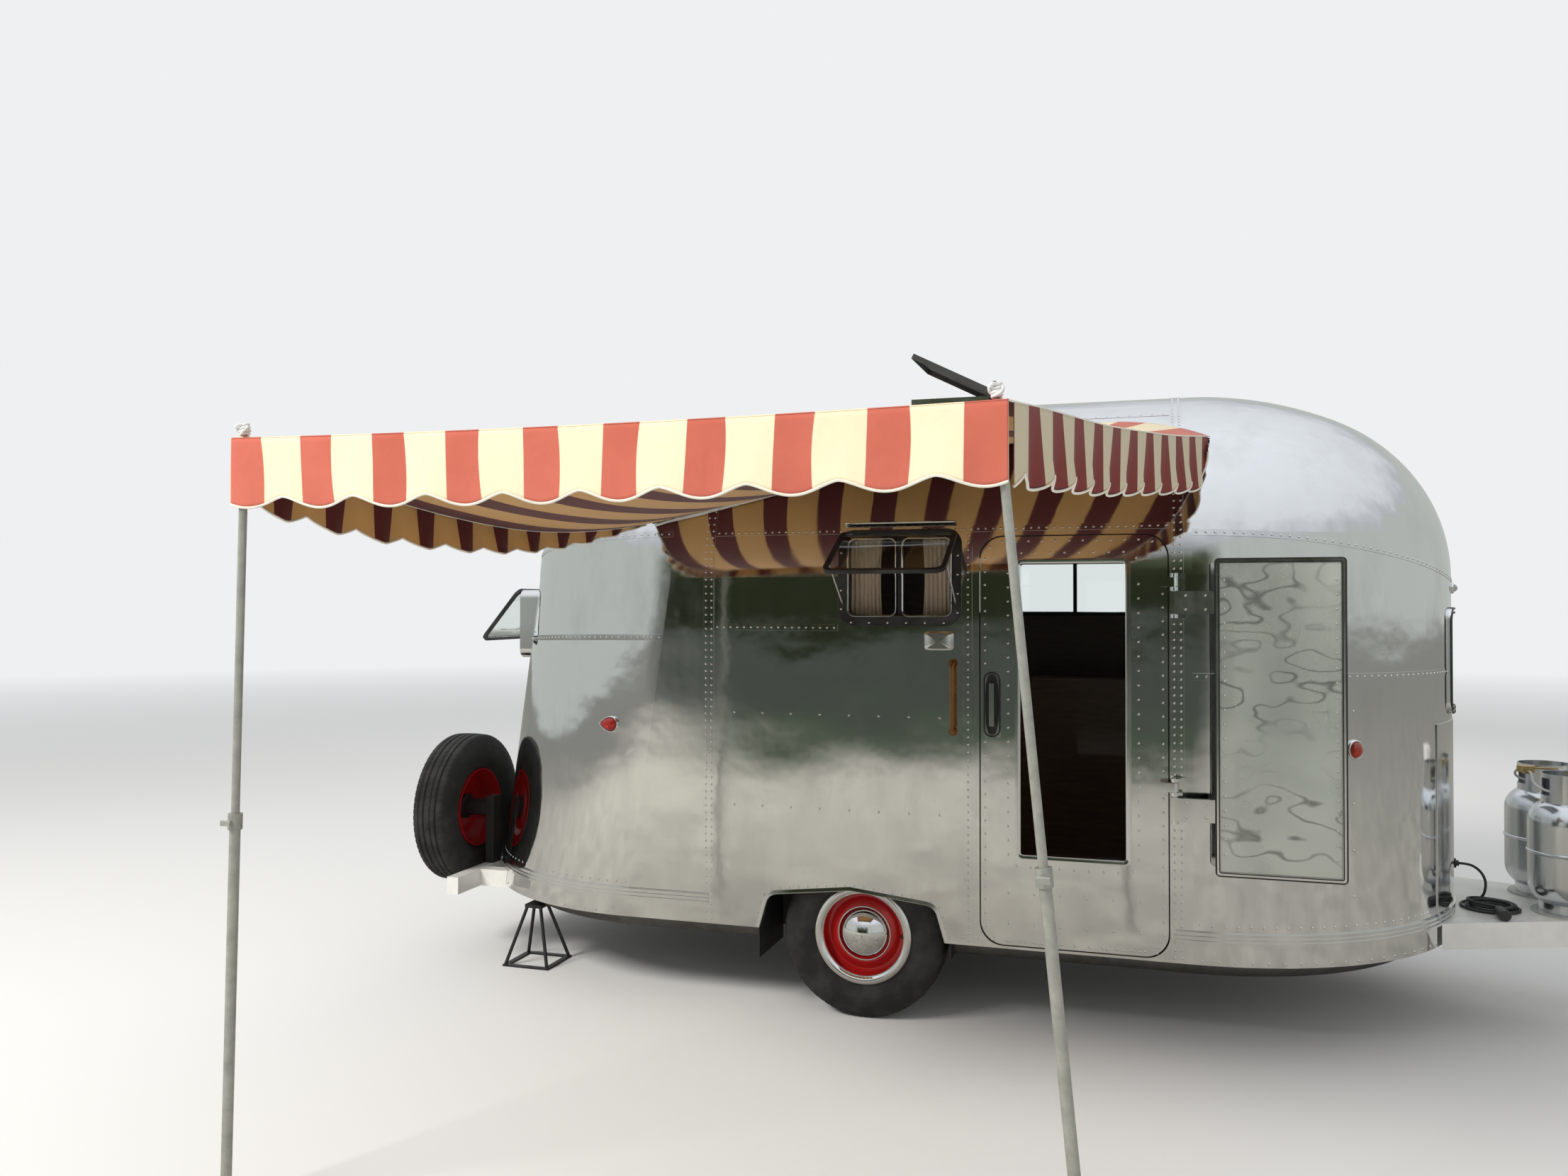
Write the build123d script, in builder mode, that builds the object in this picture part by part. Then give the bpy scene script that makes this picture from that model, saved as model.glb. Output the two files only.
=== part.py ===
from build123d import *
import os
from math import asin, atan2, cos, degrees, hypot, radians, sin, sqrt, tan

# A single-axle travel caravan with a rounded, riveted body, parked on its jack and stands
# with its awning up. Working frame: X forward to the hitch, the entrance side at -Y, Z up,
# origin on the ground under the middle of the axle. Millimetres throughout.

# Body
half_width = 1070.0
side_base = 360.0
spring_height = 1830.0
shoulder_radius = 750.0
roof_height = 2655.0
wall = 45.0
front_centre = 1300.0
rear_centre_low = -1040.0
rear_centre_high = -830.0
seam_front = 1236.0
seam_rear = -654.0
side_top = 2020.0
front_top = 1990.0
seat_gap = 0.3
spare_stock = 10.0

# Floor and underside
floor_top = 400.0
floor_low = 380.0
belly_bottom = 280.0
belly_inset = 110.0
belly_round = 60.0
belly_sheet = 6.0

# Wheels and axle
axle_height = 343.0
tyre_radius = 343.0
tyre_width = 205.0
wheel_face = 1012.0
bead_radius = 192.0
bead_share = 0.69
flank_rise = 22.0
flank_share = 0.76
flank_depth = 78.0
shoulder_depth = 25.0
shoulder_share = 0.9
edge_depth = 8.0
edge_share = 0.8
tread_drop = 2.0
tread_share = 0.66
rim_width = 150.0
rim_sheet = 6.0
disc_edge = 34.0
drum_radius = 130.0
drum_reach = 70.0
drum_depth = 60.0
hub_radius = 60.0
hub_depth = 50.0
plate_gap = 10.0
plate_thick = 6.0
plate_lip = 6.0
cap_radius = 112.0
trim_inner = 168.0
trim_outer = 211.0
trim_crown = 18.0
trim_lip = 2.3
cap_low = 51.1
cap_top = 112.0
spindle_radius = 22.0
spindle_play = 0.05
spindle_out = 5.0
spindle_room = 10.0
axle_radius = 30.0
axle_clear = 2.0
spring_y = 745.0
spring_width = 46.0
spring_thick = 24.0
spring_half = 300.0
spring_rise = 60.0
spring_eye = 20.0
spring_eye_rise = 10.0
arch_rear = -430.0
arch_front = 360.0
arch_height = 545.0
arch_corner_drop = 40.0
arch_slope = 42.0
well_inner = 690.0
well_height = 730.0
well_sheet = 4.0
well_margin = 10.0
flap_bottom = 220.0

# Main door, in the entrance side
door_rear = 502.0
door_front = 1212.0
door_bottom = 375.0
door_top = 1985.0
door_corner = 90.0
door_gap = 5.0
hatch_rear = 655.0
hatch_front = 1060.0
hatch_bottom = 730.0
hatch_top = 1880.0
hatch_corner = 12.0
latch_x = 548.0
latch_z = 1320.0
latch_width = 66.0
latch_height = 262.0
latch_plate = 6.0
latch_corner = 14.0
pull_width = 20.0
pull_depth = 18.0
pull_height = 170.0

# Outer hatch panel that covers the opening in the door, swung back against the front
hinge_x = 1235.0
hinge_out = 50.0
panel_near = 143.0
panel_far = 587.0
panel_low = 718.0
panel_high = 1886.0
panel_thick = 30.0
panel_standoff = 16.0
panel_rail = 16.0
panel_skin = 20.0
hinge_heights = (953.0, 1724.0)
hinge_arm = 85.0
hinge_pin = 6.0
hinge_play = 0.05
knuckle = 14.0
hinge_leaf = 34.0
bracket_leaf = 14.0
bracket_back = 8.0
leaf_gap = 2.0
arm_inset = 6.0

# Windows in the long sides
window_low = 1650.0
window_high = 2000.0
window_corner = 40.0
window_flange = 17.0
window_rim = 20.0
window_proud = 12.0
curb_window = (-60.0, 405.0)
street_window = (350.0, 1100.0)
pane = 4.0
sash_thick = 16.0
sash_rail = 17.0
sash_angle = 62.0
sash_lap = 4.0
curtain_width = 150.0
curtain_thick = 20.0
curtain_drop = 365.0
curtain_rail_above = 10.0

# Windows in the rounded ends
rear_window_width = 700.0
rear_window_low = 1440.0
rear_window_high = 1790.0
rear_frame_face = -1975.0
rear_sash_angle = 40.0
front_window_width = 760.0
front_window_low = 1270.0
front_window_high = 1700.0
front_frame_face = 2388.0
front_pane_face = 2289.0
end_frame_depth = 165.0
end_window_corner = 45.0

# Roof vent
vent_rear = 45.0
vent_front = 415.0
vent_half = 185.0
vent_wall = 10.0
vent_bottom = 2600.0
vent_top = 2698.0
lid_half = 208.0
lid_length = 428.0
lid_skirt = 26.0
lid_sheet = 4.0
lid_hinge_x = 451.0
lid_hinge_z = 2712.0
lid_open = 27.0
lid_pin = 4.0
lid_pin_length = 230.0
lid_gap = 12.0
lid_knuckle_y = 75.0
lid_knuckle_width = 30.0
vent_lug_y = 105.0
vent_lug_width = 20.0
vent_lug_drop = 50.0
vent_lug_bar = 16.0

# Awning
rail_line = (
    # along the body, height on the shoulder
    (-930.0, 2075.0), (-700.0, 2124.0), (-460.0, 2185.0), (-180.0, 2256.0), (100.0, 2325.0), (380.0, 2388.0),
    (640.0, 2440.0), (880.0, 2472.0), (1060.0, 2466.0), (1220.0, 2433.0), (1374.0, 2380.0),
)
shoulder_low = 1800.0
shoulder_high = 2520.0
rail_width = 18.0
rail_depth = 12.0
canopy_out = 3071.0
canopy_edge_z = 2195.0
canopy_rear = -1347.0
canopy_front = 858.0
canopy_thick = 4.0
valance_drop = 190.0
valance_thick = 3.0
canopy_steps = (0.0, 0.25, 0.5, 0.75, 1.0)
canopy_dip_rear = 130.0
canopy_dip_front = 32.0
canopy_dip_middle = 60.0
canopy_ease = 1.5
valance_gap = 0.9
rear_drops = (
    # share of the way from the rail to the front edge, drop
    (0.04, 0.0), (0.25, 45.0), (0.5, 90.0), (0.75, 135.0), (1.0, 175.0),
)
front_drops = ((0.03, 0.0), (0.1, 190.0), (0.25, 190.0), (0.5, 190.0), (0.75, 190.0), (1.0, 190.0))
pole_line = 3050.0
pole_foot = (-1370.0, 1040.0)
pole_radius = 15.0
pole_inner = 11.5
pole_split = 1120.0
pole_lap = 200.0
clamp_length = 45.0
clamp_wall = 5.0
spike_radius = 4.0
spike_clear = 1.0
spike_root = 10.0
spike_above = 55.0
pole_seat = 4.6

# Rub rail and stone guard
rail_low = 440.0
rail_high = 487.0
rub_proud = 9.0
guard_low = 500.0
guard_high = 1240.0
guard_proud = 4.0
guard_half_angle = 30.0

# Tongue
tongue_top = 445.0
tongue_depth = 100.0
tongue_width = 50.0
tongue_rear_x = 2180.0
tongue_rear_y = 520.0
tongue_tip_x = 3400.0
tongue_tip_y = 34.0
tip_block = 60.0
cross_inset = 40.0
cross_width = 50.0
deck_front = 3030.0
deck_thick = 4.0
coupler_front = 3520.0
coupler_width = 92.0
coupler_raise = 22.0
coupler_above = 15.0
coupler_round = 12.0
ball_inset = 48.0
ball_radius = 25.9
ball_neck = 20.0
lever_inset = 40.0
lever_length = 60.0
lever_width = 14.0
lever_height = 24.0

# Jack
jack_x = 3180.0
jack_outer = 30.0
jack_bore = 24.1
jack_leg_radius = 24.0
jack_tube_top = 900.0
jack_tube_bottom = 330.0
jack_leg_top = 600.0
jack_clear = 10.0
jack_plate = 150.0
jack_flange_radius = 58.0
jack_flange_thick = 10.0
jack_head_top = 1050.0
jack_head_shift = 14.0
jack_head_length = 150.0
jack_head_width = 112.0
jack_head_corner = 34.0
jack_head_crown = 16.0
jack_foot_radius = 85.0
jack_foot_thick = 10.0
jack_cone_flare = 22.0
jack_cone_height = 40.0
jack_travel = 250.0

# Gas cylinders
gas_x = 2790.0
gas_y = 175.0
gas_radius = 155.0
gas_top = 915.0
gas_round = 96.0
gas_foot_radius = 115.0
gas_foot_height = 50.0
gas_collar_radius = 105.0
gas_collar_top = 1020.0
gas_collar_sheet = 4.0
gas_collar_sink = 20.0
gas_collar_mouth = (40.0, 110.0, 70.0)
gas_lid_thick = 12.0
gas_lid_margin = 3.0
tray_thick = 6.0
tray_margin = 10.0
tray_bar = 60.0
bottle_gap = 22.0
rack_rod = 7.0
rack_rod_play = 0.3
rack_bar = 46.0
rack_bar_thick = 8.0
valve_drop = 8.0
valve_radius = 16.0
valve_height = 60.0
knob_radius = 26.0
knob_height = 16.0
outlet_height = 34.0
outlet_radius = 11.0
outlet_length = 24.0
outlet_reach = 26.0
regulator_back = 118.0
regulator_drop = 6.0
regulator_radius = 34.0
regulator_height = 26.0
regulator_arm = (30.0, 92.0, 22.0)
regulator_bar = (20.0, 6.0)
regulator_bar_raise = 4.0
hose_radius = 5.0

# Cable
cable_radius = 5.5
coil_x = 2496.0
coil_y = -190.0
coil_outer = 130.0
coil_inner = 62.0
coil_height = 60.0
gland_y = -94.0
gland_radius = 12.0
gland_length = 28.0
gland_flange = 8.0
gland_flange_thick = 6.0
plug_radius = 22.0
plug_length = 88.0
plug_round = 5.0

# Spare wheel and its carrier
spare_x = -2165.0
spare_y = -530.0
spare_z = 695.0
spare_radius = 365.0
spare_width = 190.0
stub_rear = -2045.0
stub_front = -1985.0
stub_inner = 440.0
stub_outer = 900.0
stub_low = 345.0
stub_high = 425.0
bracket_length = 220.0
bracket_width = 70.0
post_back = 26.0
post_depth = 44.0
post_width = 70.0
post_above = 60.0
carrier_tube = 42.0
carrier_plate = 60.0
carrier_plate_thick = 40.0

# Stands under the rear corners
stand_x = -1680.0
stand_y = 690.0
stand_base = 110.0
stand_top = 34.0
stand_rod = 8.0
stand_frame = 25.0
stand_margin = 10.0
stand_foot = 8.0
stand_head = 16.0

# Fittings
handle_x = 394.0
handle_low = 1210.0
handle_high = 1480.0
handle_out = 45.0
handle_radius = 8.0
handle_bend = 20.0
handle_pad = 19.0
handle_pad_thick = 6.0
lamp_x = -1130.0
lamp_z = 1190.0
lamp_length = 104.0
lamp_height = 68.0
lamp_depth = 24.0
lamp_round = 12.0
lamp_gap = 1.3
marker_radius = 30.0
markers = (
    # x, height, depth
    (1880.0, 1170.0, 30.0),
    (2350.0, 1785.0, 26.0),
)

# Furniture
galley_top = 1290.0
galley = (395.0, 1095.0, 590.0, 1010.0)
galley_board = 30.0
galley_lip = 10.0
bunk_top = 850.0
bunk = (-1500.0, -680.0, -850.0, 850.0)

# Worked out once
crown_rise = roof_height - spring_height
crown_radius = (((half_width - shoulder_radius) ** 2 + crown_rise**2 - shoulder_radius**2)
                / (2 * (crown_rise - shoulder_radius)))
crown_z = roof_height - crown_radius
shoulder_y = half_width - shoulder_radius
meet_angle = atan2(spring_height - crown_z, shoulder_y)
quarter = radians(90)
hinge_y = -(half_width + hinge_out)
wheel_y = wheel_face - tyre_width / 2
deck_top = tongue_top + deck_thick
rake = Vector(rear_centre_high - rear_centre_low, 0, spring_height - side_base).normalized()


def body_y(offset, height):
    """Half width of the body, moved outward by offset, at a height below the crown."""
    if height <= spring_height:
        return half_width + offset
    return shoulder_y + sqrt((shoulder_radius + offset) ** 2 - (height - spring_height) ** 2)


def rear_centre(height):
    """Centre of the rear half-round, which moves forward with height."""
    rise = (min(height, spring_height) - side_base) / (spring_height - side_base)
    return rear_centre_low + (rear_centre_high - rear_centre_low) * rise


def shoulder_point(offset, angle):
    reach = shoulder_radius + offset
    return (shoulder_y + reach * cos(angle), spring_height + reach * sin(angle))


def crown_point(offset, angle):
    reach = crown_radius + offset
    return (reach * cos(angle), crown_z + reach * sin(angle))


def side_section(x, outer, inner, low, high, side):
    """Band of side wall from a height on the flat to a height on the shoulder."""
    middle = (spring_height + high) / 2
    with BuildSketch(Plane.YZ.offset(x)) as section:
        with BuildLine():
            Polyline((side * (half_width + inner), spring_height), (side * (half_width + inner), low),
                     (side * (half_width + outer), low), (side * (half_width + outer), spring_height))
            ThreePointArc((side * (half_width + outer), spring_height),
                          (side * body_y(outer, middle), middle), (side * body_y(outer, high), high))
            Line((side * body_y(outer, high), high), (side * body_y(inner, high), high))
            ThreePointArc((side * body_y(inner, high), high), (side * body_y(inner, middle), middle),
                          (side * (half_width + inner), spring_height))
        make_face()
    return section.sketch


def dome_section(x, outer, inner, low):
    """Half section of the roof, from a height on the shoulder to the top centre line."""
    with BuildSketch(Plane.YZ.offset(x)) as section:
        with BuildLine():
            for offset in (outer, inner):
                start = asin((low - spring_height) / (shoulder_radius + offset))
                ThreePointArc(shoulder_point(offset, start),
                              shoulder_point(offset, (start + meet_angle) / 2),
                              shoulder_point(offset, meet_angle))
                ThreePointArc(crown_point(offset, meet_angle),
                              crown_point(offset, (meet_angle + quarter) / 2),
                              (0, roof_height + offset))
            Line((0, roof_height + outer), (0, roof_height + inner))
            Line((body_y(inner, low), low), (body_y(outer, low), low))
        make_face()
    return section.sketch


def plan_band(centre, seam, outer, inner, height, way):
    """Half ring with two straight legs, seen from above, opening towards the seam."""
    wide = half_width + outer
    narrow = half_width + inner
    with BuildSketch(Plane.XY.offset(height)) as section:
        with BuildLine():
            Line((seam, -wide), (centre, -wide))
            ThreePointArc((centre, -wide), (centre + way * wide, 0), (centre, wide))
            Polyline((centre, wide), (seam, wide), (seam, narrow), (centre, narrow))
            ThreePointArc((centre, narrow), (centre + way * narrow, 0), (centre, -narrow))
            Polyline((centre, -narrow), (seam, -narrow), (seam, -wide))
        make_face()
    return section.sketch


def plan_outline(inset, height, rear_x):
    """Whole outline of the body from above, with its rear half-round centred on rear_x."""
    radius = half_width - inset
    with BuildSketch(Plane.XY.offset(height)) as section:
        with BuildLine():
            Line((rear_x, -radius), (front_centre, -radius))
            ThreePointArc((front_centre, -radius), (front_centre + radius, 0), (front_centre, radius))
            Line((front_centre, radius), (rear_x, radius))
            ThreePointArc((rear_x, radius), (rear_x - radius, 0), (rear_x, -radius))
        make_face()
    return section.sketch


def rear_band(outer, inner, low, high):
    """Raked half-round wall behind the rear seam."""
    slant = (high - low) / rake.Z
    with BuildPart() as band:
        extrude(plan_band(rear_centre(low), seam_rear + 1, outer, inner, low, -1),
                amount=slant, dir=rake)
        split(bisect_by=Plane.YZ.offset(seam_rear), keep=Keep.BOTTOM)
    return band.part


def outline_block(plane, width, height, corner, depth):
    """Rounded rectangle pushed both ways through a wall."""
    with BuildPart() as block:
        with BuildSketch(plane):
            RectangleRounded(width, height, corner)
        extrude(amount=depth, both=True)
    return block.part


def side_plane(x_low, x_high, z_low, z_high, side):
    return Plane(origin=((x_low + x_high) / 2, side * half_width, (z_low + z_high) / 2),
                 x_dir=(1, 0, 0), z_dir=(0, -1, 0))


def side_block(span, z_low, z_high, corner, side, depth=150):
    plane = side_plane(span[0], span[1], z_low, z_high, side)
    return outline_block(plane, span[1] - span[0], z_high - z_low, corner, depth)


def end_block(x, width, z_low, z_high, corner, depth):
    plane = Plane(origin=(x, 0, (z_low + z_high) / 2), x_dir=(0, 1, 0), z_dir=(1, 0, 0))
    return outline_block(plane, width, z_high - z_low, corner, depth)


pieces = []


def keep(builder, name):
    builder.part.label = name
    pieces.append(builder.part)


# Side walls: flat below the spring line and rolled in above it
def arch_block(side):
    """Opening for the wheel in the lower edge of a side wall, steeper at its rear end."""
    top = arch_height - arch_corner_drop
    with BuildPart() as block:
        with BuildSketch(Plane.XZ.offset(-side * half_width)):
            with BuildLine():
                Polyline((arch_rear, side_base), (arch_rear + arch_slope, top),
                         ((arch_rear + arch_front) / 2, arch_height), (arch_front - arch_slope, top),
                         (arch_front, side_base), (arch_rear, side_base))
            face = make_face()
            corners = face.vertices().group_by(Axis.Z)[1:]
            fillet([corner for level in corners for corner in level], arch_slope)
            with Locations(((arch_rear + arch_front) / 2, side_base - arch_slope / 2)):
                Rectangle(arch_front - arch_rear, arch_slope)
        extrude(amount=wall * 2, both=True)
    return block.part


door_span = (door_rear - door_gap, door_front + door_gap)
with BuildPart() as curb_side_wall:
    extrude(side_section(seam_rear, 0, -wall, side_base, side_top, -1), amount=seam_front - seam_rear)
    add(side_block(door_span, door_bottom - door_gap, door_top + door_gap, door_corner, -1),
        mode=Mode.SUBTRACT)
    add(side_block(curb_window, window_low, window_high, window_corner, -1), mode=Mode.SUBTRACT)
    add(arch_block(-1), mode=Mode.SUBTRACT)
keep(curb_side_wall, "curb_side_wall")

with BuildPart() as street_side_wall:
    extrude(side_section(seam_rear, 0, -wall, side_base, side_top, 1), amount=seam_front - seam_rear)
    add(side_block(street_window, window_low, window_high, window_corner, 1), mode=Mode.SUBTRACT)
    add(arch_block(1), mode=Mode.SUBTRACT)
keep(street_side_wall, "street_side_wall")

# Roof: rolled panel between the domed ends, with the hole for the vent
with BuildPart() as roof_panel:
    extrude(dome_section(seam_rear, 0, -wall, side_top), amount=seam_front - seam_rear)
    mirror(about=Plane.XZ)
    with Locations(((vent_rear + vent_front) / 2, 0, roof_height)):
        Box(vent_front - vent_rear + 2 * seat_gap, 2 * (vent_half + seat_gap), 4 * wall, mode=Mode.SUBTRACT)
keep(roof_panel, "roof_panel")

# Front end: upright half-round below, dome above
front_axis = Axis((front_centre, 0, 0), (0, 0, -1))
with BuildPart() as front_lower_shell:
    revolve(side_section(front_centre, 0, -wall, side_base, front_top, 1), front_axis, 180)
    for side in (-1, 1):
        extrude(side_section(seam_front, 0, -wall, side_base, front_top, side),
                amount=front_centre - seam_front)
    add(end_block(front_frame_face, front_window_width, front_window_low, front_window_high,
                  end_window_corner, end_frame_depth * 2), mode=Mode.SUBTRACT)
keep(front_lower_shell, "front_lower_shell")

with BuildPart() as front_dome:
    revolve(dome_section(front_centre, 0, -wall, front_top), front_axis, 180)
    extrude(dome_section(seam_front, 0, -wall, front_top), amount=front_centre - seam_front)
    mirror(about=Plane.XZ)
keep(front_dome, "front_dome")

# Rear end: raked half-round below, dome above
rear_axis = Axis((rear_centre_high, 0, 0), (0, 0, 1))
with BuildPart() as rear_lower_shell:
    add(rear_band(0, -wall, side_base, spring_height))
    add(end_block(rear_frame_face, rear_window_width, rear_window_low, rear_window_high,
                  end_window_corner, end_frame_depth * 2), mode=Mode.SUBTRACT)
keep(rear_lower_shell, "rear_lower_shell")

with BuildPart() as rear_dome:
    revolve(dome_section(rear_centre_high, 0, -wall, spring_height), rear_axis, 180)
    extrude(dome_section(rear_centre_high, 0, -wall, spring_height), amount=seam_rear - rear_centre_high)
    mirror(about=Plane.XZ)
keep(rear_dome, "rear_dome")

# Floor slab inside the walls, notched for the wheel wells
well_rear = arch_rear - well_margin
well_front = arch_front + well_margin
well_length = well_front - well_rear
well_mid = (well_rear + well_front) / 2
well_outer = half_width - wall
notch_inner = well_inner - seat_gap


def cut_notches(low, high, reach):
    """Room for the wheel wells in a slab."""
    for side in (-1, 1):
        with Locations((well_mid, side * (notch_inner + reach) / 2, (low + high) / 2)):
            Box(well_length + 2 * well_sheet + 2 * seat_gap, reach - notch_inner, high - low,
                mode=Mode.SUBTRACT)


with BuildPart() as cabin_floor:
    extrude(plan_outline(wall + seat_gap, floor_low, rear_centre(floor_top)), amount=floor_top - floor_low)
    cut_notches(floor_low, floor_top, half_width)
keep(cabin_floor, "cabin_floor")

# Belly: a shallow pan below the floor, rounded at its lower edge
with BuildPart() as belly_pan:
    extrude(plan_outline(belly_inset, belly_bottom, rear_centre_low), amount=side_base - belly_bottom)
    fillet(belly_pan.edges().group_by(Axis.Z)[0], belly_round)
    extrude(plan_outline(belly_inset + belly_round + belly_sheet, belly_bottom + belly_sheet,
                         rear_centre_low), amount=side_base - belly_bottom, mode=Mode.SUBTRACT)
    cut_notches(belly_bottom, side_base, half_width)
keep(belly_pan, "belly_pan")

# Wheel wells: folded boxes open towards the wheel, with a flap behind it
with BuildPart() as wheel_wells:
    for side in (-1, 1):
        with Locations((well_mid, side * (well_inner + well_outer) / 2, (belly_bottom + well_height) / 2)):
            Box(well_length + 2 * well_sheet, well_outer - well_inner, well_height - belly_bottom)
        with Locations((well_mid, side * (well_inner + well_sheet + well_outer) / 2,
                        (belly_bottom + well_height - well_sheet) / 2)):
            Box(well_length, well_outer - well_inner - well_sheet, well_height - belly_bottom - well_sheet,
                mode=Mode.SUBTRACT)
        with Locations((well_rear - well_sheet / 2, side * (well_inner + well_outer) / 2,
                        (flap_bottom + belly_bottom) / 2)):
            Box(well_sheet, well_outer - well_inner, belly_bottom - flap_bottom)
        with Locations((0, side * (well_inner + well_sheet / 2), axle_height)):
            Cylinder(axle_radius + axle_clear, well_sheet * 3, rotation=(90, 0, 0), mode=Mode.SUBTRACT)
keep(wheel_wells, "wheel_wells")

# Ribbed rub rail round the front and the rear, none on the straight sides
rib_pitch = (rail_high - rail_low) / 3
with BuildPart() as rub_rails:
    for low in (rail_low, rail_low + rib_pitch, rail_low + 2 * rib_pitch):
        for band_low, band_high, proud in ((low, low + rib_pitch, rub_proud / 2),
                                           (low + rib_pitch / 5, low + rib_pitch * 4 / 5, rub_proud)):
            extrude(plan_band(front_centre, seam_front, proud, seat_gap, band_low, 1),
                    amount=band_high - band_low)
            add(rear_band(proud, seat_gap, band_low, band_high))
keep(rub_rails, "rub_rails")

# Bright guard on the lower front
guard_reach = half_width + guard_proud
with BuildPart() as stone_guard:
    with BuildSketch(Plane.XY.offset(guard_low)):
        with Locations((front_centre, 0)):
            Circle(guard_reach)
            Circle(half_width + seat_gap, mode=Mode.SUBTRACT)
        with BuildLine():
            Polyline((front_centre, 0),
                     (front_centre + 2 * guard_reach * cos(radians(guard_half_angle)),
                      -2 * guard_reach * sin(radians(guard_half_angle))),
                     (front_centre + 2 * guard_reach * cos(radians(guard_half_angle)),
                      2 * guard_reach * sin(radians(guard_half_angle))),
                     (front_centre, 0))
        make_face(mode=Mode.INTERSECT)
    extrude(amount=guard_high - guard_low)
keep(stone_guard, "stone_guard")

# Frames of the side windows: a flange outside that follows the skin and a liner in the cut
def wall_plate(span, grow, inner, side):
    """Plate that follows the curved wall from inner to just proud of it, over a grown window."""
    low = window_low - grow
    high = window_high + grow
    with BuildPart() as plate:
        extrude(side_section(span[0] - grow - spare_stock, window_proud, inner, low - spare_stock,
                             high + spare_stock, side),
                amount=span[1] - span[0] + 2 * (grow + spare_stock))
        add(side_block((span[0] - grow, span[1] + grow), low, high, window_corner + max(grow, 0), side),
            mode=Mode.INTERSECT)
    return plate.part


with BuildPart() as side_window_frames:
    for span, side in ((curb_window, -1), (street_window, 1)):
        inner_span = (span[0] + window_rim, span[1] - window_rim)
        add(wall_plate(span, window_flange, seat_gap, side))
        add(wall_plate(span, -seat_gap, -wall, side))
        add(side_block(inner_span, window_low + window_rim, window_high - window_rim,
                       window_corner - window_rim / 2, side), mode=Mode.SUBTRACT)
        post = (span[0] + span[1]) / 2
        post_y = side * (half_width - (wall + window_rim) / 2)
        with Locations((post, post_y, (window_low + window_high) / 2)):
            Box(window_rim, wall / 2, window_high - window_low - window_rim)
keep(side_window_frames, "side_window_frames")

# Frames of the end windows: boxes through the rounded ends, the front one cut to the curve of the body
with BuildPart() as beyond_front:
    with Locations((front_frame_face, 0, (front_window_low + front_window_high) / 2)):
        Box(2 * end_frame_depth, front_window_width, 2 * front_window_high)
    with Locations((front_centre, 0, (front_window_low + front_window_high) / 2)):
        Cylinder(half_width + window_proud, 2 * front_window_high, mode=Mode.SUBTRACT)
end_windows = (
    # outer face, way out, width, low, high
    (front_frame_face, 1, front_window_width, front_window_low, front_window_high),
    (rear_frame_face, -1, rear_window_width, rear_window_low, rear_window_high),
)
with BuildPart() as end_window_frames:
    for face_x, way, width, low, high in end_windows:
        middle = face_x - way * end_frame_depth / 2
        for trim, mode in ((seat_gap, Mode.ADD), (window_rim, Mode.SUBTRACT)):
            plane = Plane(origin=(middle, 0, (low + high) / 2), x_dir=(0, 1, 0), z_dir=(1, 0, 0))
            with BuildSketch(plane):
                RectangleRounded(width - 2 * trim, high - low - 2 * trim, end_window_corner - trim / 2)
            extrude(amount=end_frame_depth / 2 + (0 if mode == Mode.ADD else wall), both=True, mode=mode)
    add(beyond_front.part, mode=Mode.SUBTRACT)
keep(end_window_frames, "end_window_frames")

# Top-hung sashes, both stored propped open, and the panes of all four windows
curb_top = window_high + sash_lap
curb_sash_plane = Plane(
    origin=(sum(curb_window) / 2, -body_y(window_proud, curb_top) - seat_gap, curb_top),
    x_dir=(1, 0, 0), z_dir=(0, -cos(radians(sash_angle)), sin(radians(sash_angle))))
rear_sash_plane = Plane(
    origin=(rear_frame_face - seat_gap, 0, rear_window_high - sash_lap), x_dir=(0, -1, 0),
    z_dir=(-cos(radians(rear_sash_angle)), 0, sin(radians(rear_sash_angle))))
sashes = (
    # plane at the top edge, width, height
    (curb_sash_plane, curb_window[1] - curb_window[0] + window_flange,
     window_high - window_low + 3 * sash_lap),
    (rear_sash_plane, rear_window_width, rear_window_high - rear_window_low - 2 * sash_lap),
)
with BuildPart() as window_sashes:
    for plane, width, height in sashes:
        with BuildSketch(plane):
            with Locations((0, -height / 2)):
                RectangleRounded(width, height, window_corner)
                RectangleRounded(width - 2 * sash_rail, height - 2 * sash_rail, window_corner - sash_rail / 2,
                                 mode=Mode.SUBTRACT)
        extrude(amount=sash_thick)
keep(window_sashes, "window_sashes")

with BuildPart() as window_glass:
    for plane, width, height in sashes:
        with BuildSketch(plane.offset((sash_thick - pane) / 2)):
            with Locations((0, -height / 2)):
                RectangleRounded(width - 2 * sash_rail, height - 2 * sash_rail, window_corner - sash_rail / 2)
        extrude(amount=pane)
    window_mid = (window_low + window_high) / 2
    with BuildSketch(Plane(origin=(sum(street_window) / 2, half_width - window_rim, window_mid),
                           x_dir=(1, 0, 0), z_dir=(0, -1, 0))):
        RectangleRounded(street_window[1] - street_window[0] - 2 * window_rim,
                         window_high - window_low - 2 * window_rim, window_corner - window_rim / 2)
        Rectangle(window_rim, window_high - window_low, mode=Mode.SUBTRACT)
    extrude(amount=pane)
    front_mid = (front_window_low + front_window_high) / 2
    with BuildSketch(Plane(origin=(front_pane_face - pane, 0, front_mid),
                           x_dir=(0, 1, 0), z_dir=(1, 0, 0))):
        RectangleRounded(front_window_width - 2 * window_rim,
                         front_window_high - front_window_low - 2 * window_rim,
                         end_window_corner - window_rim / 2)
    extrude(amount=pane)
keep(window_glass, "window_glass")

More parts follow.
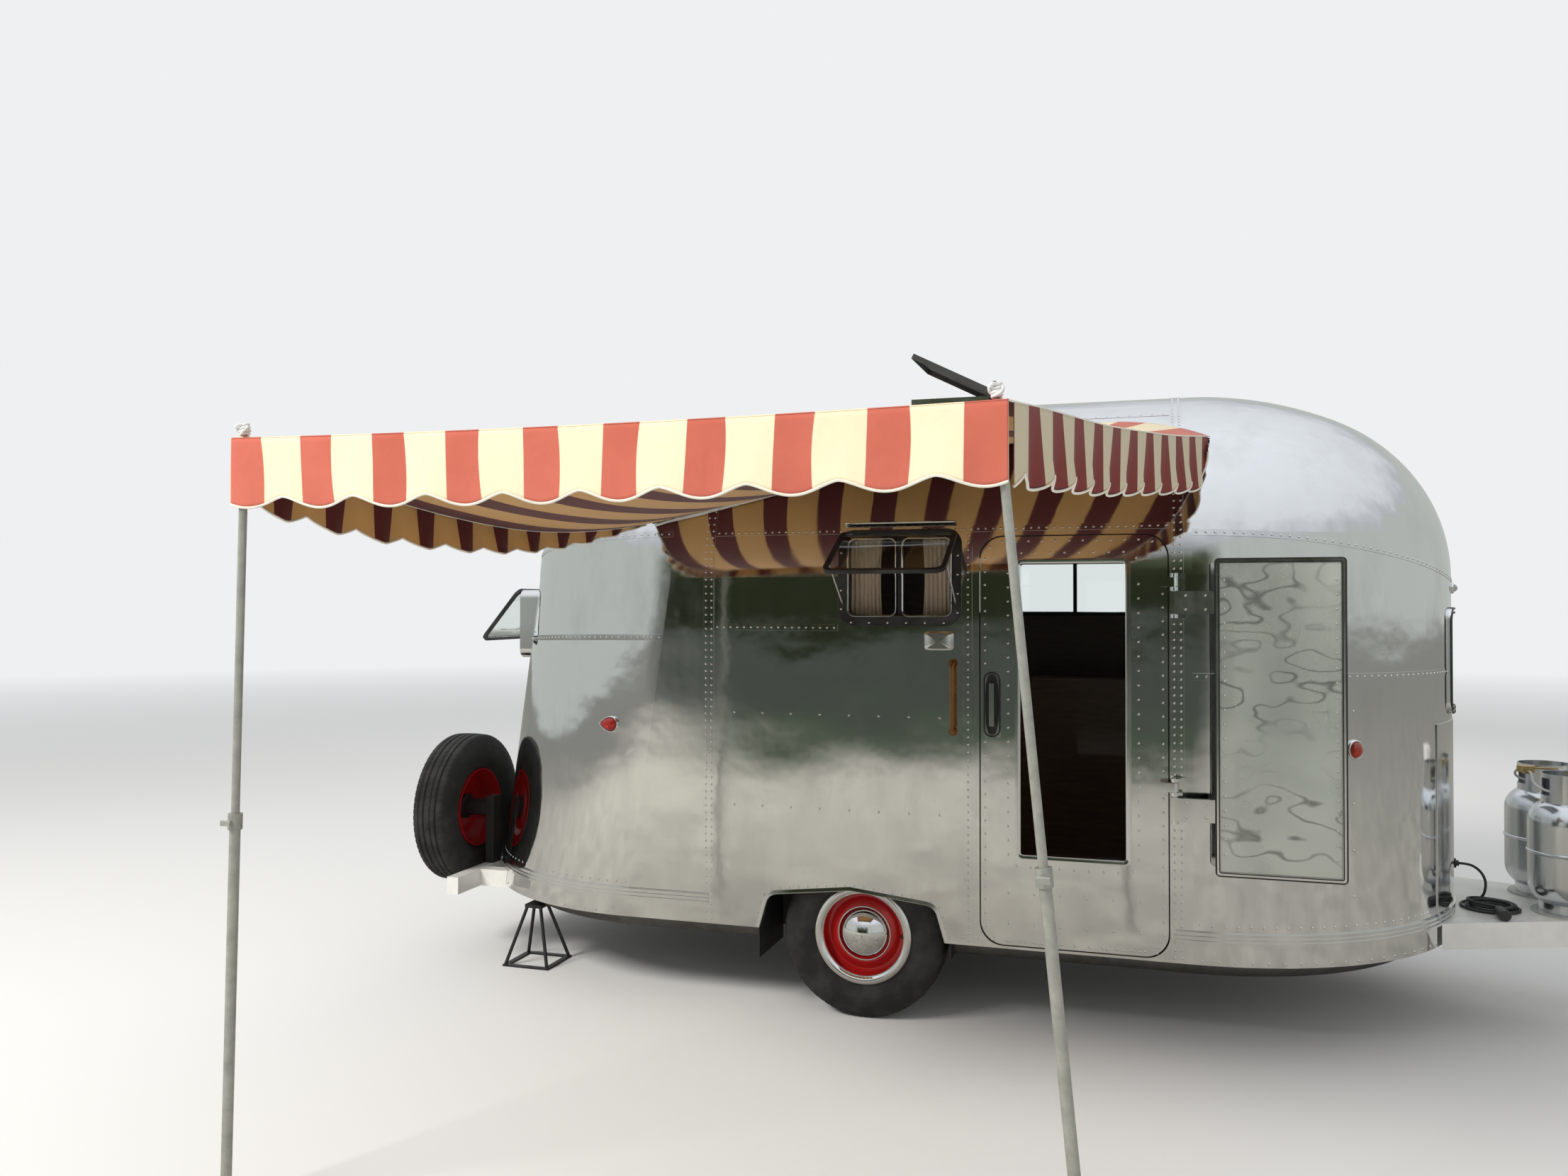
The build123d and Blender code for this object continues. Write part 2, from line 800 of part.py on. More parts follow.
# Curtains inside the curb window, drawn to its two ends
curtain_rail_top = window_high + curtain_rail_above
curtain_y = body_y(-wall, curtain_rail_top) - seat_gap - curtain_thick / 2
with BuildPart() as curtains:
    for x in (curb_window[0] + curtain_width / 2, curb_window[1] - curtain_width / 2):
        with Locations((x, -curtain_y, curtain_rail_top - curtain_thick - seat_gap - curtain_drop / 2)):
            Box(curtain_width, curtain_thick, curtain_drop)
    with Locations((sum(curb_window) / 2, -curtain_y, curtain_rail_top - curtain_thick / 2)):
        Box(curb_window[1] - curb_window[0], curtain_thick, curtain_thick)
keep(curtains, "curtains")

# Main door: cut from the same curved wall, with an opening behind the outer hatch
with BuildPart() as main_door:
    extrude(side_section(door_rear - spare_stock, 0, -wall, door_bottom - spare_stock,
                         door_top + spare_stock, -1), amount=door_front - door_rear + 2 * spare_stock)
    add(side_block((door_rear, door_front), door_bottom, door_top, door_corner, -1), mode=Mode.INTERSECT)
    add(side_block((hatch_rear, hatch_front), hatch_bottom, hatch_top, hatch_corner, -1), mode=Mode.SUBTRACT)
    for height in hinge_heights:
        leaf_z = height + hinge_arm / 2 + bracket_leaf + 2 * leaf_gap + hinge_leaf / 2
        with Locations((hinge_x, hinge_y, leaf_z)):
            Cylinder(knuckle, hinge_leaf)
        with Locations((door_front - knuckle, hinge_y + hinge_out / 2, leaf_z)):
            Box(2 * knuckle, hinge_out, hinge_leaf)
        with Locations(((door_front + hinge_x) / 2 - knuckle / 2, hinge_y, leaf_z)):
            Box(hinge_x - door_front + knuckle, 2 * knuckle, hinge_leaf)
        with Locations((hinge_x, hinge_y, leaf_z)):
            Cylinder(hinge_pin + hinge_play, hinge_leaf * 2, mode=Mode.SUBTRACT)
keep(main_door, "main_door")

with BuildPart() as door_latch:
    with Locations((latch_x, -half_width - seat_gap - latch_plate / 2, latch_z)):
        Box(latch_width, latch_plate, latch_height)
    fillet(door_latch.edges().filter_by(Axis.Y), latch_corner)
    with Locations((latch_x, -half_width - seat_gap - latch_plate - pull_depth / 2 + seat_gap, latch_z)):
        Box(pull_width, pull_depth, pull_height)
keep(door_latch, "door_latch")

# Outer hatch panel, swung right back
panel_y = hinge_y - panel_standoff - panel_thick / 2
panel_mid_x = hinge_x + (panel_near + panel_far) / 2
panel_mid_z = (panel_low + panel_high) / 2
panel_plane = Plane(origin=(panel_mid_x, panel_y, panel_mid_z), x_dir=(1, 0, 0), z_dir=(0, -1, 0))
panel_width = panel_far - panel_near
panel_height = panel_high - panel_low
with BuildPart() as door_hatch_frame:
    with BuildSketch(panel_plane):
        RectangleRounded(panel_width, panel_height, hatch_corner)
        RectangleRounded(panel_width - 2 * panel_rail, panel_height - 2 * panel_rail,
                         hatch_corner - panel_rail / 2, mode=Mode.SUBTRACT)
    extrude(amount=panel_thick / 2, both=True)
    arm_thick = panel_thick - arm_inset
    for height in hinge_heights:
        with Locations((hinge_x + panel_near / 2, hinge_y - panel_standoff - arm_thick / 2, height)):
            Box(panel_near, arm_thick, hinge_arm)
        with Locations((hinge_x, hinge_y - panel_standoff / 2, height)):
            Box(2 * knuckle, panel_standoff + knuckle, hinge_arm)
        with Locations((hinge_x, hinge_y, height)):
            Cylinder(knuckle, hinge_arm)
            Cylinder(hinge_pin + hinge_play, hinge_arm * 2, mode=Mode.SUBTRACT)
keep(door_hatch_frame, "door_hatch_frame")

with BuildPart() as door_hatch_skin:
    with BuildSketch(panel_plane):
        RectangleRounded(panel_width - 2 * panel_rail, panel_height - 2 * panel_rail,
                         hatch_corner - panel_rail / 2)
    extrude(amount=panel_skin / 2, both=True)
keep(door_hatch_skin, "door_hatch_skin")

# Hinge brackets on the body, with the pins that both leaves turn on
with BuildPart() as door_hinges:
    for height in hinge_heights:
        arm_top = height + hinge_arm / 2
        leaf_bottom = arm_top + bracket_leaf + 2 * leaf_gap
        bracket_heights = (height - hinge_arm / 2 - leaf_gap - bracket_leaf / 2,
                           arm_top + leaf_gap + bracket_leaf / 2,
                           leaf_bottom + hinge_leaf + leaf_gap + bracket_leaf / 2)
        for z in bracket_heights:
            with Locations((hinge_x, hinge_y, z)):
                Cylinder(knuckle, bracket_leaf)
            with Locations((hinge_x + knuckle, hinge_y + hinge_out / 2 - seat_gap / 2, z)):
                Box(2 * knuckle, hinge_out - seat_gap, bracket_leaf)
        pin_low = bracket_heights[0] - bracket_leaf / 2
        pin_high = bracket_heights[2] + bracket_leaf / 2
        with Locations((hinge_x, hinge_y, (pin_low + pin_high) / 2)):
            Cylinder(hinge_pin, pin_high - pin_low)
        back_x = hinge_x + 2 * knuckle
        with Locations((back_x, -half_width - seat_gap - bracket_back / 2, (pin_low + pin_high) / 2)):
            Box(2 * knuckle - leaf_gap, bracket_back, pin_high - pin_low)
keep(door_hinges, "door_hinges")

# Roof vent: coaming in the roof, and a lid stored open
with BuildPart() as roof_vent_base:
    with Locations(((vent_rear + vent_front) / 2, 0, (vent_bottom + vent_top) / 2)):
        Box(vent_front - vent_rear, 2 * vent_half, vent_top - vent_bottom)
        Box(vent_front - vent_rear - 2 * vent_wall, 2 * vent_half - 2 * vent_wall,
            vent_top - vent_bottom, mode=Mode.SUBTRACT)
    for way in (-1, 1):
        with Locations(((vent_front + lid_hinge_x) / 2 + lid_pin, way * vent_lug_y,
                        lid_hinge_z - vent_lug_drop + vent_lug_bar / 2)):
            Box(lid_hinge_x - vent_front + 2 * lid_pin, vent_lug_width, vent_lug_bar)
        with Locations((lid_hinge_x + lid_pin / 2, way * vent_lug_y, lid_hinge_z - vent_lug_drop / 2)):
            Box(3 * lid_pin, vent_lug_width, vent_lug_drop)
        with Locations((lid_hinge_x, way * vent_lug_y, lid_hinge_z)):
            Cylinder(2 * lid_pin, vent_lug_width, rotation=(90, 0, 0))
    with Locations((lid_hinge_x, 0, lid_hinge_z)):
        Cylinder(lid_pin, lid_pin_length, rotation=(90, 0, 0))
keep(roof_vent_base, "roof_vent_base")

lid_tilt = radians(lid_open)
lid_plane = Plane(origin=(lid_hinge_x, 0, lid_hinge_z), x_dir=(cos(lid_tilt), 0, -sin(lid_tilt)),
                  z_dir=(sin(lid_tilt), 0, cos(lid_tilt)))
with BuildPart(lid_plane) as roof_vent_lid:
    with Locations((-lid_gap - lid_length / 2, 0, -lid_skirt / 2 + lid_sheet)):
        Box(lid_length, 2 * lid_half, lid_skirt)
    with Locations((-lid_gap - lid_length / 2, 0, -lid_skirt / 2)):
        Box(lid_length - 2 * lid_sheet, 2 * (lid_half - lid_sheet), lid_skirt, mode=Mode.SUBTRACT)
    for way in (-1, 1):
        with Locations((-lid_gap / 2, way * lid_knuckle_y, 0)):
            Box(lid_gap + lid_sheet / 2, lid_knuckle_width, 2 * lid_pin)
        with Locations((0, way * lid_knuckle_y, 0)):
            Cylinder(2 * lid_pin, lid_knuckle_width, rotation=(90, 0, 0))
            Cylinder(lid_pin + hinge_play, 2 * lid_knuckle_width, rotation=(90, 0, 0), mode=Mode.SUBTRACT)
keep(roof_vent_lid, "roof_vent_lid")

# Awning rail on the shoulder, low at its rear end, then canopy, hanging edges and poles
rail_rear = rail_line[0][0]
rail_front = rail_line[-1][0]
with BuildPart() as awning_rail:
    extrude(side_section(rail_rear, seat_gap + rail_depth, seat_gap, shoulder_low, shoulder_high, -1),
            amount=rail_front - rail_rear)
    with BuildSketch(Plane.XZ):
        with BuildLine():
            Polyline(*[(x, height - rail_width / 2) for x, height in rail_line],
                     *[(x, height + rail_width / 2) for x, height in reversed(rail_line)], close=True)
        make_face()
    extrude(amount=2 * half_width, both=True, mode=Mode.INTERSECT)
keep(awning_rail, "awning_rail")


def canopy_row(x, height):
    """Upright plane from the rail out to the front edge, and the canopy's sagging top line in it."""
    share = (x - rail_rear) / (rail_front - rail_rear)
    start = Vector(x, -body_y(rail_depth + 2 * seat_gap + canopy_ease, height - canopy_thick), height)
    end = Vector(canopy_rear + (canopy_front - canopy_rear) * share, -canopy_out, canopy_edge_z)
    level = Vector(end.X - start.X, end.Y - start.Y, 0)
    dip = canopy_dip_rear * (1 - share) + canopy_dip_front * share + 4 * canopy_dip_middle * share * (1 - share)
    line = [(level.length * out, (end.Z - start.Z) * out - 4 * dip * out * (1 - out)) for out in canopy_steps]
    across = level.normalized()
    return Plane(origin=start, x_dir=across, z_dir=across.cross(Vector(0, 0, 1))), line


def line_height(line, reach):
    """Height of a row's top line at a level distance from the rail."""
    for (near, high), (far, low) in zip(line, line[1:]):
        if reach <= far:
            return high + (low - high) * (reach - near) / (far - near)
    return line[-1][1]


canopy_rows = [canopy_row(x, height) for x, height in rail_line]


def pole_top(edge_row, next_row, edge_x, inset_way):
    """Where a pole meets the underside of the canopy, just in from its corner."""
    spots = []
    for plane, line in (edge_row, next_row):
        reach = (-pole_line - plane.origin.Y) / plane.x_dir.Y
        spots.append(plane.origin + plane.x_dir * reach + Vector(0, 0, line_height(line, reach)))
    x = edge_x + inset_way * 2 * pole_radius
    share = (x - spots[0].X) / (spots[1].X - spots[0].X)
    height = spots[0].Z + (spots[1].Z - spots[0].Z) * share
    return Vector(x, -pole_line, height - canopy_thick - pole_seat)


pole_lines = [
    (Vector(pole_foot[0], -pole_line, 0), pole_top(canopy_rows[0], canopy_rows[1], canopy_rear, 1)),
    (Vector(pole_foot[1], -pole_line, 0), pole_top(canopy_rows[-1], canopy_rows[-2], canopy_front, -1)),
]
with BuildPart() as awning_canopy:
    for plane, line in canopy_rows:
        with BuildSketch(plane):
            with BuildLine():
                Polyline(*line, *[(reach, height - canopy_thick) for reach, height in reversed(line)], close=True)
            make_face()
    loft(ruled=True)
    for foot, top in pole_lines:
        with Locations(top):
            Cylinder(spike_radius + spike_clear, 8 * canopy_thick, mode=Mode.SUBTRACT)
keep(awning_canopy, "awning_canopy")

side_edges = (
    # canopy row, drops along it, way in
    (canopy_rows[0], rear_drops, 1),
    (canopy_rows[-1], front_drops, -1),
)
with BuildPart() as awning_valances:
    with Locations(((canopy_rear + canopy_front) / 2, -canopy_out + valance_thick / 2,
                    canopy_edge_z - canopy_thick - valance_gap - valance_drop / 2)):
        Box(canopy_front - canopy_rear, valance_thick, valance_drop)
    for (plane, line), drops, way in side_edges:
        last = line[-1][0] - valance_thick - seat_gap
        upper = []
        lower = []
        for share, drop in drops:
            reach = min(share * line[-1][0], last)
            height = line_height(line, reach) - canopy_thick - valance_gap
            upper.append((reach, height))
            if drop > 0:
                lower.append((reach, height - drop))
        with BuildSketch(plane):
            with BuildLine():
                Polyline(*upper, *reversed(lower), close=True)
            make_face()
        extrude(amount=way * valance_thick)
keep(awning_valances, "awning_valances")

with BuildPart() as awning_poles:
    for foot, top in pole_lines:
        way = (top - foot).normalized()
        with BuildSketch(Plane(origin=foot - way * pole_radius, x_dir=(0, 1, 0), z_dir=way)):
            Circle(pole_radius)
        extrude(amount=pole_split + pole_radius)
        with BuildSketch(Plane(origin=foot + way * (pole_split - clamp_length), x_dir=(0, 1, 0), z_dir=way)):
            Circle(pole_radius + clamp_wall)
        extrude(amount=clamp_length)
    split(bisect_by=Plane.XY, keep=Keep.TOP)
    for foot, top in pole_lines:
        way = (top - foot).normalized()
        with BuildSketch(Plane(origin=foot + way * (pole_split - pole_lap), x_dir=(0, 1, 0), z_dir=way)):
            Circle(pole_inner + seat_gap)
        extrude(amount=2 * pole_lap, mode=Mode.SUBTRACT)
    for foot, top in pole_lines:
        way = (top - foot).normalized()
        reach = (top - foot).length
        inner_foot = pole_split - pole_lap + seat_gap
        with BuildSketch(Plane(origin=foot + way * inner_foot, x_dir=(0, 1, 0), z_dir=way)):
            Circle(pole_inner)
        extrude(amount=reach - inner_foot)
        with BuildSketch(Plane(origin=foot + way * (reach - spike_root), x_dir=(0, 1, 0), z_dir=way)):
            Circle(spike_radius)
        extrude(amount=spike_root + spike_above)
keep(awning_poles, "awning_poles")

# Tongue: two box members that meet at the coupler, a deck plate and a plate for the jack
tongue_slope = (tongue_rear_y - tongue_tip_y) / (tongue_tip_x - tongue_rear_x)


def tongue_y(x):
    return tongue_tip_y + (tongue_tip_x - x) * tongue_slope


def clear_front_skin(low, high):
    """Ends a piece just off the rounded front of the body."""
    with Locations((front_centre, 0, (low + high) / 2)):
        Cylinder(half_width + rub_proud + seat_gap, high - low, mode=Mode.SUBTRACT)


tongue_low = tongue_top - tongue_depth
with BuildPart() as tongue_frame:
    with BuildSketch(Plane.XY.offset(tongue_low)):
        for side in (-1, 1):
            with BuildLine():
                half = tongue_width / 2
                Polyline((tongue_rear_x, side * (tongue_rear_y - half)),
                         (tongue_tip_x, side * (tongue_tip_y - half)),
                         (tongue_tip_x, side * (tongue_tip_y + half)),
                         (tongue_rear_x, side * (tongue_rear_y + half)),
                         (tongue_rear_x, side * (tongue_rear_y - half)))
            make_face()
        with Locations((tongue_tip_x - tip_block / 2, 0)):
            Rectangle(tip_block, 2 * tongue_tip_y)
    extrude(amount=tongue_depth)
    with Locations((deck_front - cross_inset, 0, tongue_top - tongue_depth / 4)):
        Box(cross_width, 2 * tongue_y(deck_front - cross_inset), tongue_depth / 2)
    clear_front_skin(0, roof_height)
keep(tongue_frame, "tongue_frame")

with BuildPart() as tongue_deck:
    with BuildSketch(Plane.XY.offset(tongue_top)):
        with BuildLine():
            wide = tongue_y(tongue_rear_x) + tongue_width / 2
            narrow = tongue_y(deck_front) + tongue_width / 2
            Polyline((tongue_rear_x, -wide), (deck_front, -narrow), (deck_front, narrow),
                     (tongue_rear_x, wide), (tongue_rear_x, -wide))
        make_face()
    extrude(amount=deck_thick)
    clear_front_skin(0, roof_height)
    with Locations((jack_x, 0, tongue_top + deck_thick / 2)):
        Box(jack_plate, 2 * tongue_y(jack_x) + tongue_width, deck_thick)
        Cylinder(jack_outer + seat_gap, 4 * deck_thick, mode=Mode.SUBTRACT)
keep(tongue_deck, "tongue_deck")

# Coupler: a folded housing with a round socket that opens downward
coupler_rear = tongue_tip_x + seat_gap
coupler_low = tongue_low + coupler_raise
coupler_high = tongue_top + coupler_above
ball_x = coupler_front - ball_inset
with BuildPart() as coupler:
    with BuildSketch(Plane.XY.offset(coupler_low)):
        with BuildLine():
            half = coupler_width / 2
            Polyline((ball_x, half), (coupler_rear, half), (coupler_rear, -half), (ball_x, -half))
            ThreePointArc((ball_x, -half), (coupler_front, 0), (ball_x, half))
        make_face()
    extrude(amount=coupler_high - coupler_low)
    fillet(coupler.edges().group_by(Axis.Z)[-1], coupler_round)
    with Locations((ball_x, 0, coupler_low + ball_neck / 2)):
        Cylinder(ball_radius, ball_neck, mode=Mode.SUBTRACT)
    with Locations((ball_x, 0, coupler_low + ball_neck)):
        Sphere(ball_radius, mode=Mode.SUBTRACT)
    with Locations((coupler_rear + lever_inset, 0, coupler_high + lever_height / 2)):
        Box(lever_length, lever_width, lever_height)
keep(coupler, "coupler")

# Jack: outer tube in its plate, white power head, and the inner leg with its foot
with BuildPart() as jack_tube:
    with Locations((jack_x, 0, (jack_tube_bottom + jack_tube_top) / 2)):
        Cylinder(jack_outer, jack_tube_top - jack_tube_bottom)
    with Locations((jack_x, 0, deck_top + jack_flange_thick / 2)):
        Cylinder(jack_flange_radius, jack_flange_thick)
    bore_top = jack_leg_top + jack_travel + jack_clear
    with Locations((jack_x, 0, (jack_tube_bottom - jack_clear + bore_top) / 2)):
        Cylinder(jack_bore, bore_top - jack_tube_bottom + jack_clear, mode=Mode.SUBTRACT)
keep(jack_tube, "jack_tube")

with BuildPart() as jack_head:
    with Locations((jack_x + jack_head_shift, 0, (jack_tube_top + jack_head_top) / 2)):
        Box(jack_head_length, jack_head_width, jack_head_top - jack_tube_top)
    fillet(jack_head.edges().filter_by(Axis.Z), jack_head_corner)
    fillet(jack_head.faces().sort_by(Axis.Z)[-1].edges(), jack_head_crown)
keep(jack_head, "jack_head")

with BuildPart() as jack_leg:
    with Locations((jack_x, 0, (jack_leg_top + jack_foot_thick) / 2)):
        Cylinder(jack_leg_radius, jack_leg_top - jack_foot_thick)
    with Locations((jack_x, 0, jack_foot_thick / 2)):
        Cylinder(jack_foot_radius, jack_foot_thick)
    with Locations((jack_x, 0, jack_foot_thick + jack_cone_height / 2)):
        Cone(jack_leg_radius + jack_cone_flare, jack_leg_radius, jack_cone_height)
keep(jack_leg, "jack_leg")

# Gas cylinders with foot rings and collars, standing in a tray
tray_top = deck_top + tray_thick
body_low = tray_top + bottle_gap


def bottle(side):
    """Gas cylinder with its foot ring and an open collar round the valve."""
    y = side * gas_y
    collar_low = gas_top - gas_collar_sink
    with BuildPart() as shell:
        with Locations((gas_x, y, (body_low + gas_top) / 2)):
            Cylinder(gas_radius, gas_top - body_low)
        fillet(shell.edges().filter_by(GeomType.CIRCLE), gas_round)
        with Locations((gas_x, y, tray_top + seat_gap + gas_foot_height / 2)):
            Cylinder(gas_foot_radius, gas_foot_height)
        with Locations((gas_x, y, (collar_low + gas_collar_top) / 2)):
            Cylinder(gas_collar_radius, gas_collar_top - collar_low)
            Cylinder(gas_collar_radius - gas_collar_sheet, gas_collar_top - collar_low, mode=Mode.SUBTRACT)
        with Locations((gas_x, y, collar_low + gas_lid_thick / 2)):
            Cylinder(gas_collar_radius - gas_lid_margin, gas_lid_thick)
        with Locations((gas_x - gas_collar_radius, y, (gas_top + gas_collar_top) / 2)):
            Box(*gas_collar_mouth, mode=Mode.SUBTRACT)
    return shell.part


with BuildPart() as gas_cylinders:
    for side in (-1, 1):
        add(bottle(side))
keep(gas_cylinders, "gas_cylinders")

regulator_z = gas_collar_top - regulator_drop
bar_z = regulator_z + regulator_bar_raise
rack_bar_top = bar_z - regulator_bar[1] / 2 - seat_gap
with BuildPart() as gas_rack:
    for side in (-1, 1):
        with Locations((gas_x, side * gas_y, deck_top + tray_thick / 2)):
            Cylinder(gas_radius - tray_margin, tray_thick)
    with Locations((gas_x, 0, deck_top + tray_thick / 2)):
        Box(tray_bar, 2 * gas_y, tray_thick)
    with Locations((gas_x, 0, (deck_top + gas_collar_top) / 2)):
        Cylinder(rack_rod, gas_collar_top - deck_top)
    with Locations((gas_x, 0, rack_bar_top - rack_bar_thick / 2)):
        Box(rack_bar, 2 * (gas_y - gas_collar_radius) - 2 * seat_gap, rack_bar_thick)
keep(gas_rack, "gas_rack")

valve_z = gas_top - valve_drop
outlet_z = valve_z + outlet_height
regulator_x = gas_x - regulator_back
with BuildPart() as gas_fittings:
    for side in (-1, 1):
        with Locations((gas_x, side * gas_y, valve_z + valve_height / 2)):
            Cylinder(valve_radius, valve_height)
        with Locations((gas_x, side * gas_y, valve_z + valve_height + knob_height / 2)):
            Cylinder(knob_radius, knob_height)
        with Locations((gas_x - outlet_reach, side * gas_y, outlet_z)):
            Cylinder(outlet_radius, outlet_length, rotation=(0, 90, 0))
    with Locations((regulator_x, 0, regulator_z)):
        Cylinder(regulator_radius, regulator_height)
    with Locations((regulator_x, 0, regulator_z - regulator_drop)):
        Box(*regulator_arm)
    with Locations(((regulator_x + gas_x) / 2, 0, bar_z)):
        Box(gas_x - regulator_x, *regulator_bar)
    with Locations((gas_x, 0, bar_z)):
        Cylinder(rack_rod + rack_rod_play, 4 * regulator_height, mode=Mode.SUBTRACT)
keep(gas_fittings, "gas_fittings")


def corner_radii(points, share=0.45):
    """Arc at each inner corner: 0.45 of the shorter run over the tangent of half the turn."""
    radii = []
    for before, here, after in zip(points, points[1:], points[2:]):
        first = Vector(*here) - Vector(*before)
        second = Vector(*after) - Vector(*here)
        half_turn = radians(first.get_angle(second)) / 2
        radii.append(share * min(first.length, second.length) / tan(half_turn))
    return radii


def hose_path(points):
    with BuildLine() as path:
        FilletPolyline(*points, radius=corner_radii(points))
    return path.line


def round_along(points, radius):
    """Round bar or tube along straight runs and tangent arcs."""
    path = hose_path(points)
    with BuildPart() as tube:
        with BuildSketch(Plane(origin=path @ 0, z_dir=path % 0)):
            Circle(radius)
        sweep(path=path)
    return tube.part


valve_mouth = gas_x - outlet_reach - outlet_length / 2 - seat_gap
arm_end = regulator_arm[1] / 2 + seat_gap
arm_z = regulator_z - regulator_drop
with BuildPart() as gas_hoses:
    for side in (-1, 1):
        route = [(valve_mouth, side * gas_y, outlet_z), (valve_mouth - 34, side * gas_y, outlet_z),
                 (valve_mouth - 66, side * (gas_y - 8), outlet_z + 12),
                 (regulator_x - 12, side * (gas_y - 36), outlet_z + 36),
                 (regulator_x, side * (arm_end + 44.7), arm_z),
                 (regulator_x, side * arm_end, arm_z)]
        add(round_along(route, hose_radius))
keep(gas_hoses, "gas_hoses")

# Trailer cable: gland in the skin, a short lead, the coil on the deck and the plug
coil_top = deck_top + seat_gap + coil_height
gland_x = front_centre + sqrt(half_width**2 - gland_y**2)
lead_start = gland_x + gland_length
lead_pitches = [radians(pitch) for pitch in (0, 22.5, 45, 67.5)]
lead_run = (coil_x - lead_start) / sum(cos(pitch) for pitch in lead_pitches)
lead_end = coil_top + seat_gap
gland_z = lead_end + lead_run * (1 + sum(sin(pitch) for pitch in lead_pitches))
with BuildPart() as cable_gland:
    with Locations((gland_x + gland_length / 2, gland_y, gland_z)):
        Cylinder(gland_radius, gland_length, rotation=(0, 90, 0))
        Cylinder(gland_radius + gland_flange, gland_flange_thick, rotation=(0, 90, 0))
    with Locations((front_centre, 0, gland_z)):
        Cylinder(guard_reach + seat_gap, 8 * gland_radius, mode=Mode.SUBTRACT)
keep(cable_gland, "cable_gland")

with BuildPart() as cable_coil:
    with Locations((coil_x, coil_y, deck_top + seat_gap + coil_height / 2)):
        Cylinder(coil_outer, coil_height)
        Cylinder(coil_inner, coil_height, mode=Mode.SUBTRACT)
    fillet(cable_coil.edges().filter_by(GeomType.CIRCLE), coil_height / 4)
keep(cable_coil, "cable_coil")

lead_points = [(lead_start, gland_y, gland_z)]
for pitch in lead_pitches:
    last_x, _, last_z = lead_points[-1]
    lead_points.append((last_x + lead_run * cos(pitch), gland_y, last_z - lead_run * sin(pitch)))
lead_points.append((coil_x, gland_y, lead_end))
with BuildPart() as cable_lead:
    add(round_along(lead_points, cable_radius))
keep(cable_lead, "cable_lead")

with BuildPart() as cable_plug:
    with Locations((coil_x, coil_y - coil_outer - seat_gap - plug_length / 2,
                    deck_top + seat_gap + plug_radius)):
        Cylinder(plug_radius, plug_length, rotation=(90, 0, 0))
    fillet(cable_plug.edges().filter_by(GeomType.CIRCLE), plug_round)
keep(cable_plug, "cable_plug")

# Axle with backing plates, spindles and leaf springs
plate_y = wheel_y - drum_reach - plate_gap - plate_thick / 2
with BuildPart() as axle:
    with Locations((0, 0, axle_height)):
        Cylinder(axle_radius, 2 * plate_y, rotation=(90, 0, 0))
    for side in (-1, 1):
        with Locations((0, side * plate_y, axle_height)):
            Cylinder(drum_radius + plate_lip, plate_thick, rotation=(90, 0, 0))
        with Locations((0, side * (plate_y + wheel_y + spindle_out) / 2, axle_height)):
            Cylinder(spindle_radius, wheel_y + spindle_out - plate_y, rotation=(90, 0, 0))
keep(axle, "axle")

spring_low = axle_height + axle_radius + seat_gap
spring_tip = spring_low + spring_rise
tip_top = spring_tip + spring_thick / 2
with BuildPart() as leaf_springs:
    for side in (-1, 1):
        with BuildSketch(Plane.XZ.offset(-side * spring_y)):
            with BuildLine():
                ThreePointArc((-spring_half, spring_tip), (0, spring_low), (spring_half, spring_tip))
                Line((spring_half, spring_tip), (spring_half, tip_top))
                ThreePointArc((spring_half, tip_top), (0, spring_low + spring_thick), (-spring_half, tip_top))
                Line((-spring_half, tip_top), (-spring_half, spring_tip))
            make_face()
        extrude(amount=spring_width / 2, both=True)
        spring_inner = well_inner + well_sheet + seat_gap
        spring_outer = spring_y + spring_width / 2
        for x in (-spring_half, spring_half):
            with Locations((x, side * (spring_inner + spring_outer) / 2, spring_tip + spring_eye_rise)):
                Cylinder(spring_eye, spring_outer - spring_inner, rotation=(90, 0, 0))
keep(leaf_springs, "leaf_springs")


def turned_plane(centre, axle_dir):
    """Half-section plane of a turned piece: radius along x, reach out along the axle in y."""
    return Plane(origin=centre, x_dir=(0, 0, 1), z_dir=Vector(0, 0, 1).cross(axle_dir))


def tyre_ring(centre, axle_dir, radius, width):
    """Tyre turned about its own axle."""
    half = width / 2
    with BuildPart() as tyre:
        with BuildSketch(turned_plane(centre, axle_dir)):
            with BuildLine():
                for way in (-1, 1):
                    reach = way * half
                    Polyline((bead_radius, 0), (bead_radius, reach * bead_share),
                             (bead_radius + flank_rise, reach * flank_share))
                    ThreePointArc((bead_radius + flank_rise, reach * flank_share),
                                  (radius - flank_depth, reach),
                                  (radius - shoulder_depth, reach * shoulder_share))
                    ThreePointArc((radius - shoulder_depth, reach * shoulder_share),
                                  (radius - edge_depth, reach * edge_share),
                                  (radius - tread_drop, reach * tread_share))
                ThreePointArc((radius - tread_drop, -half * tread_share), (radius, 0),
                              (radius - tread_drop, half * tread_share))
            make_face()
        revolve(axis=Axis(centre, axle_dir))
    return tyre.part


barrel = bead_radius - rim_sheet
disc_back = disc_edge - rim_sheet
disc_profile = (
    # radius, reach out along the axle: front of the pressed disc inward, then its back outward
    (150, disc_edge), (120, 52), (80, 46), (0, 46), (0, 40), (78, 40), (118, 45), (146, disc_back),
)


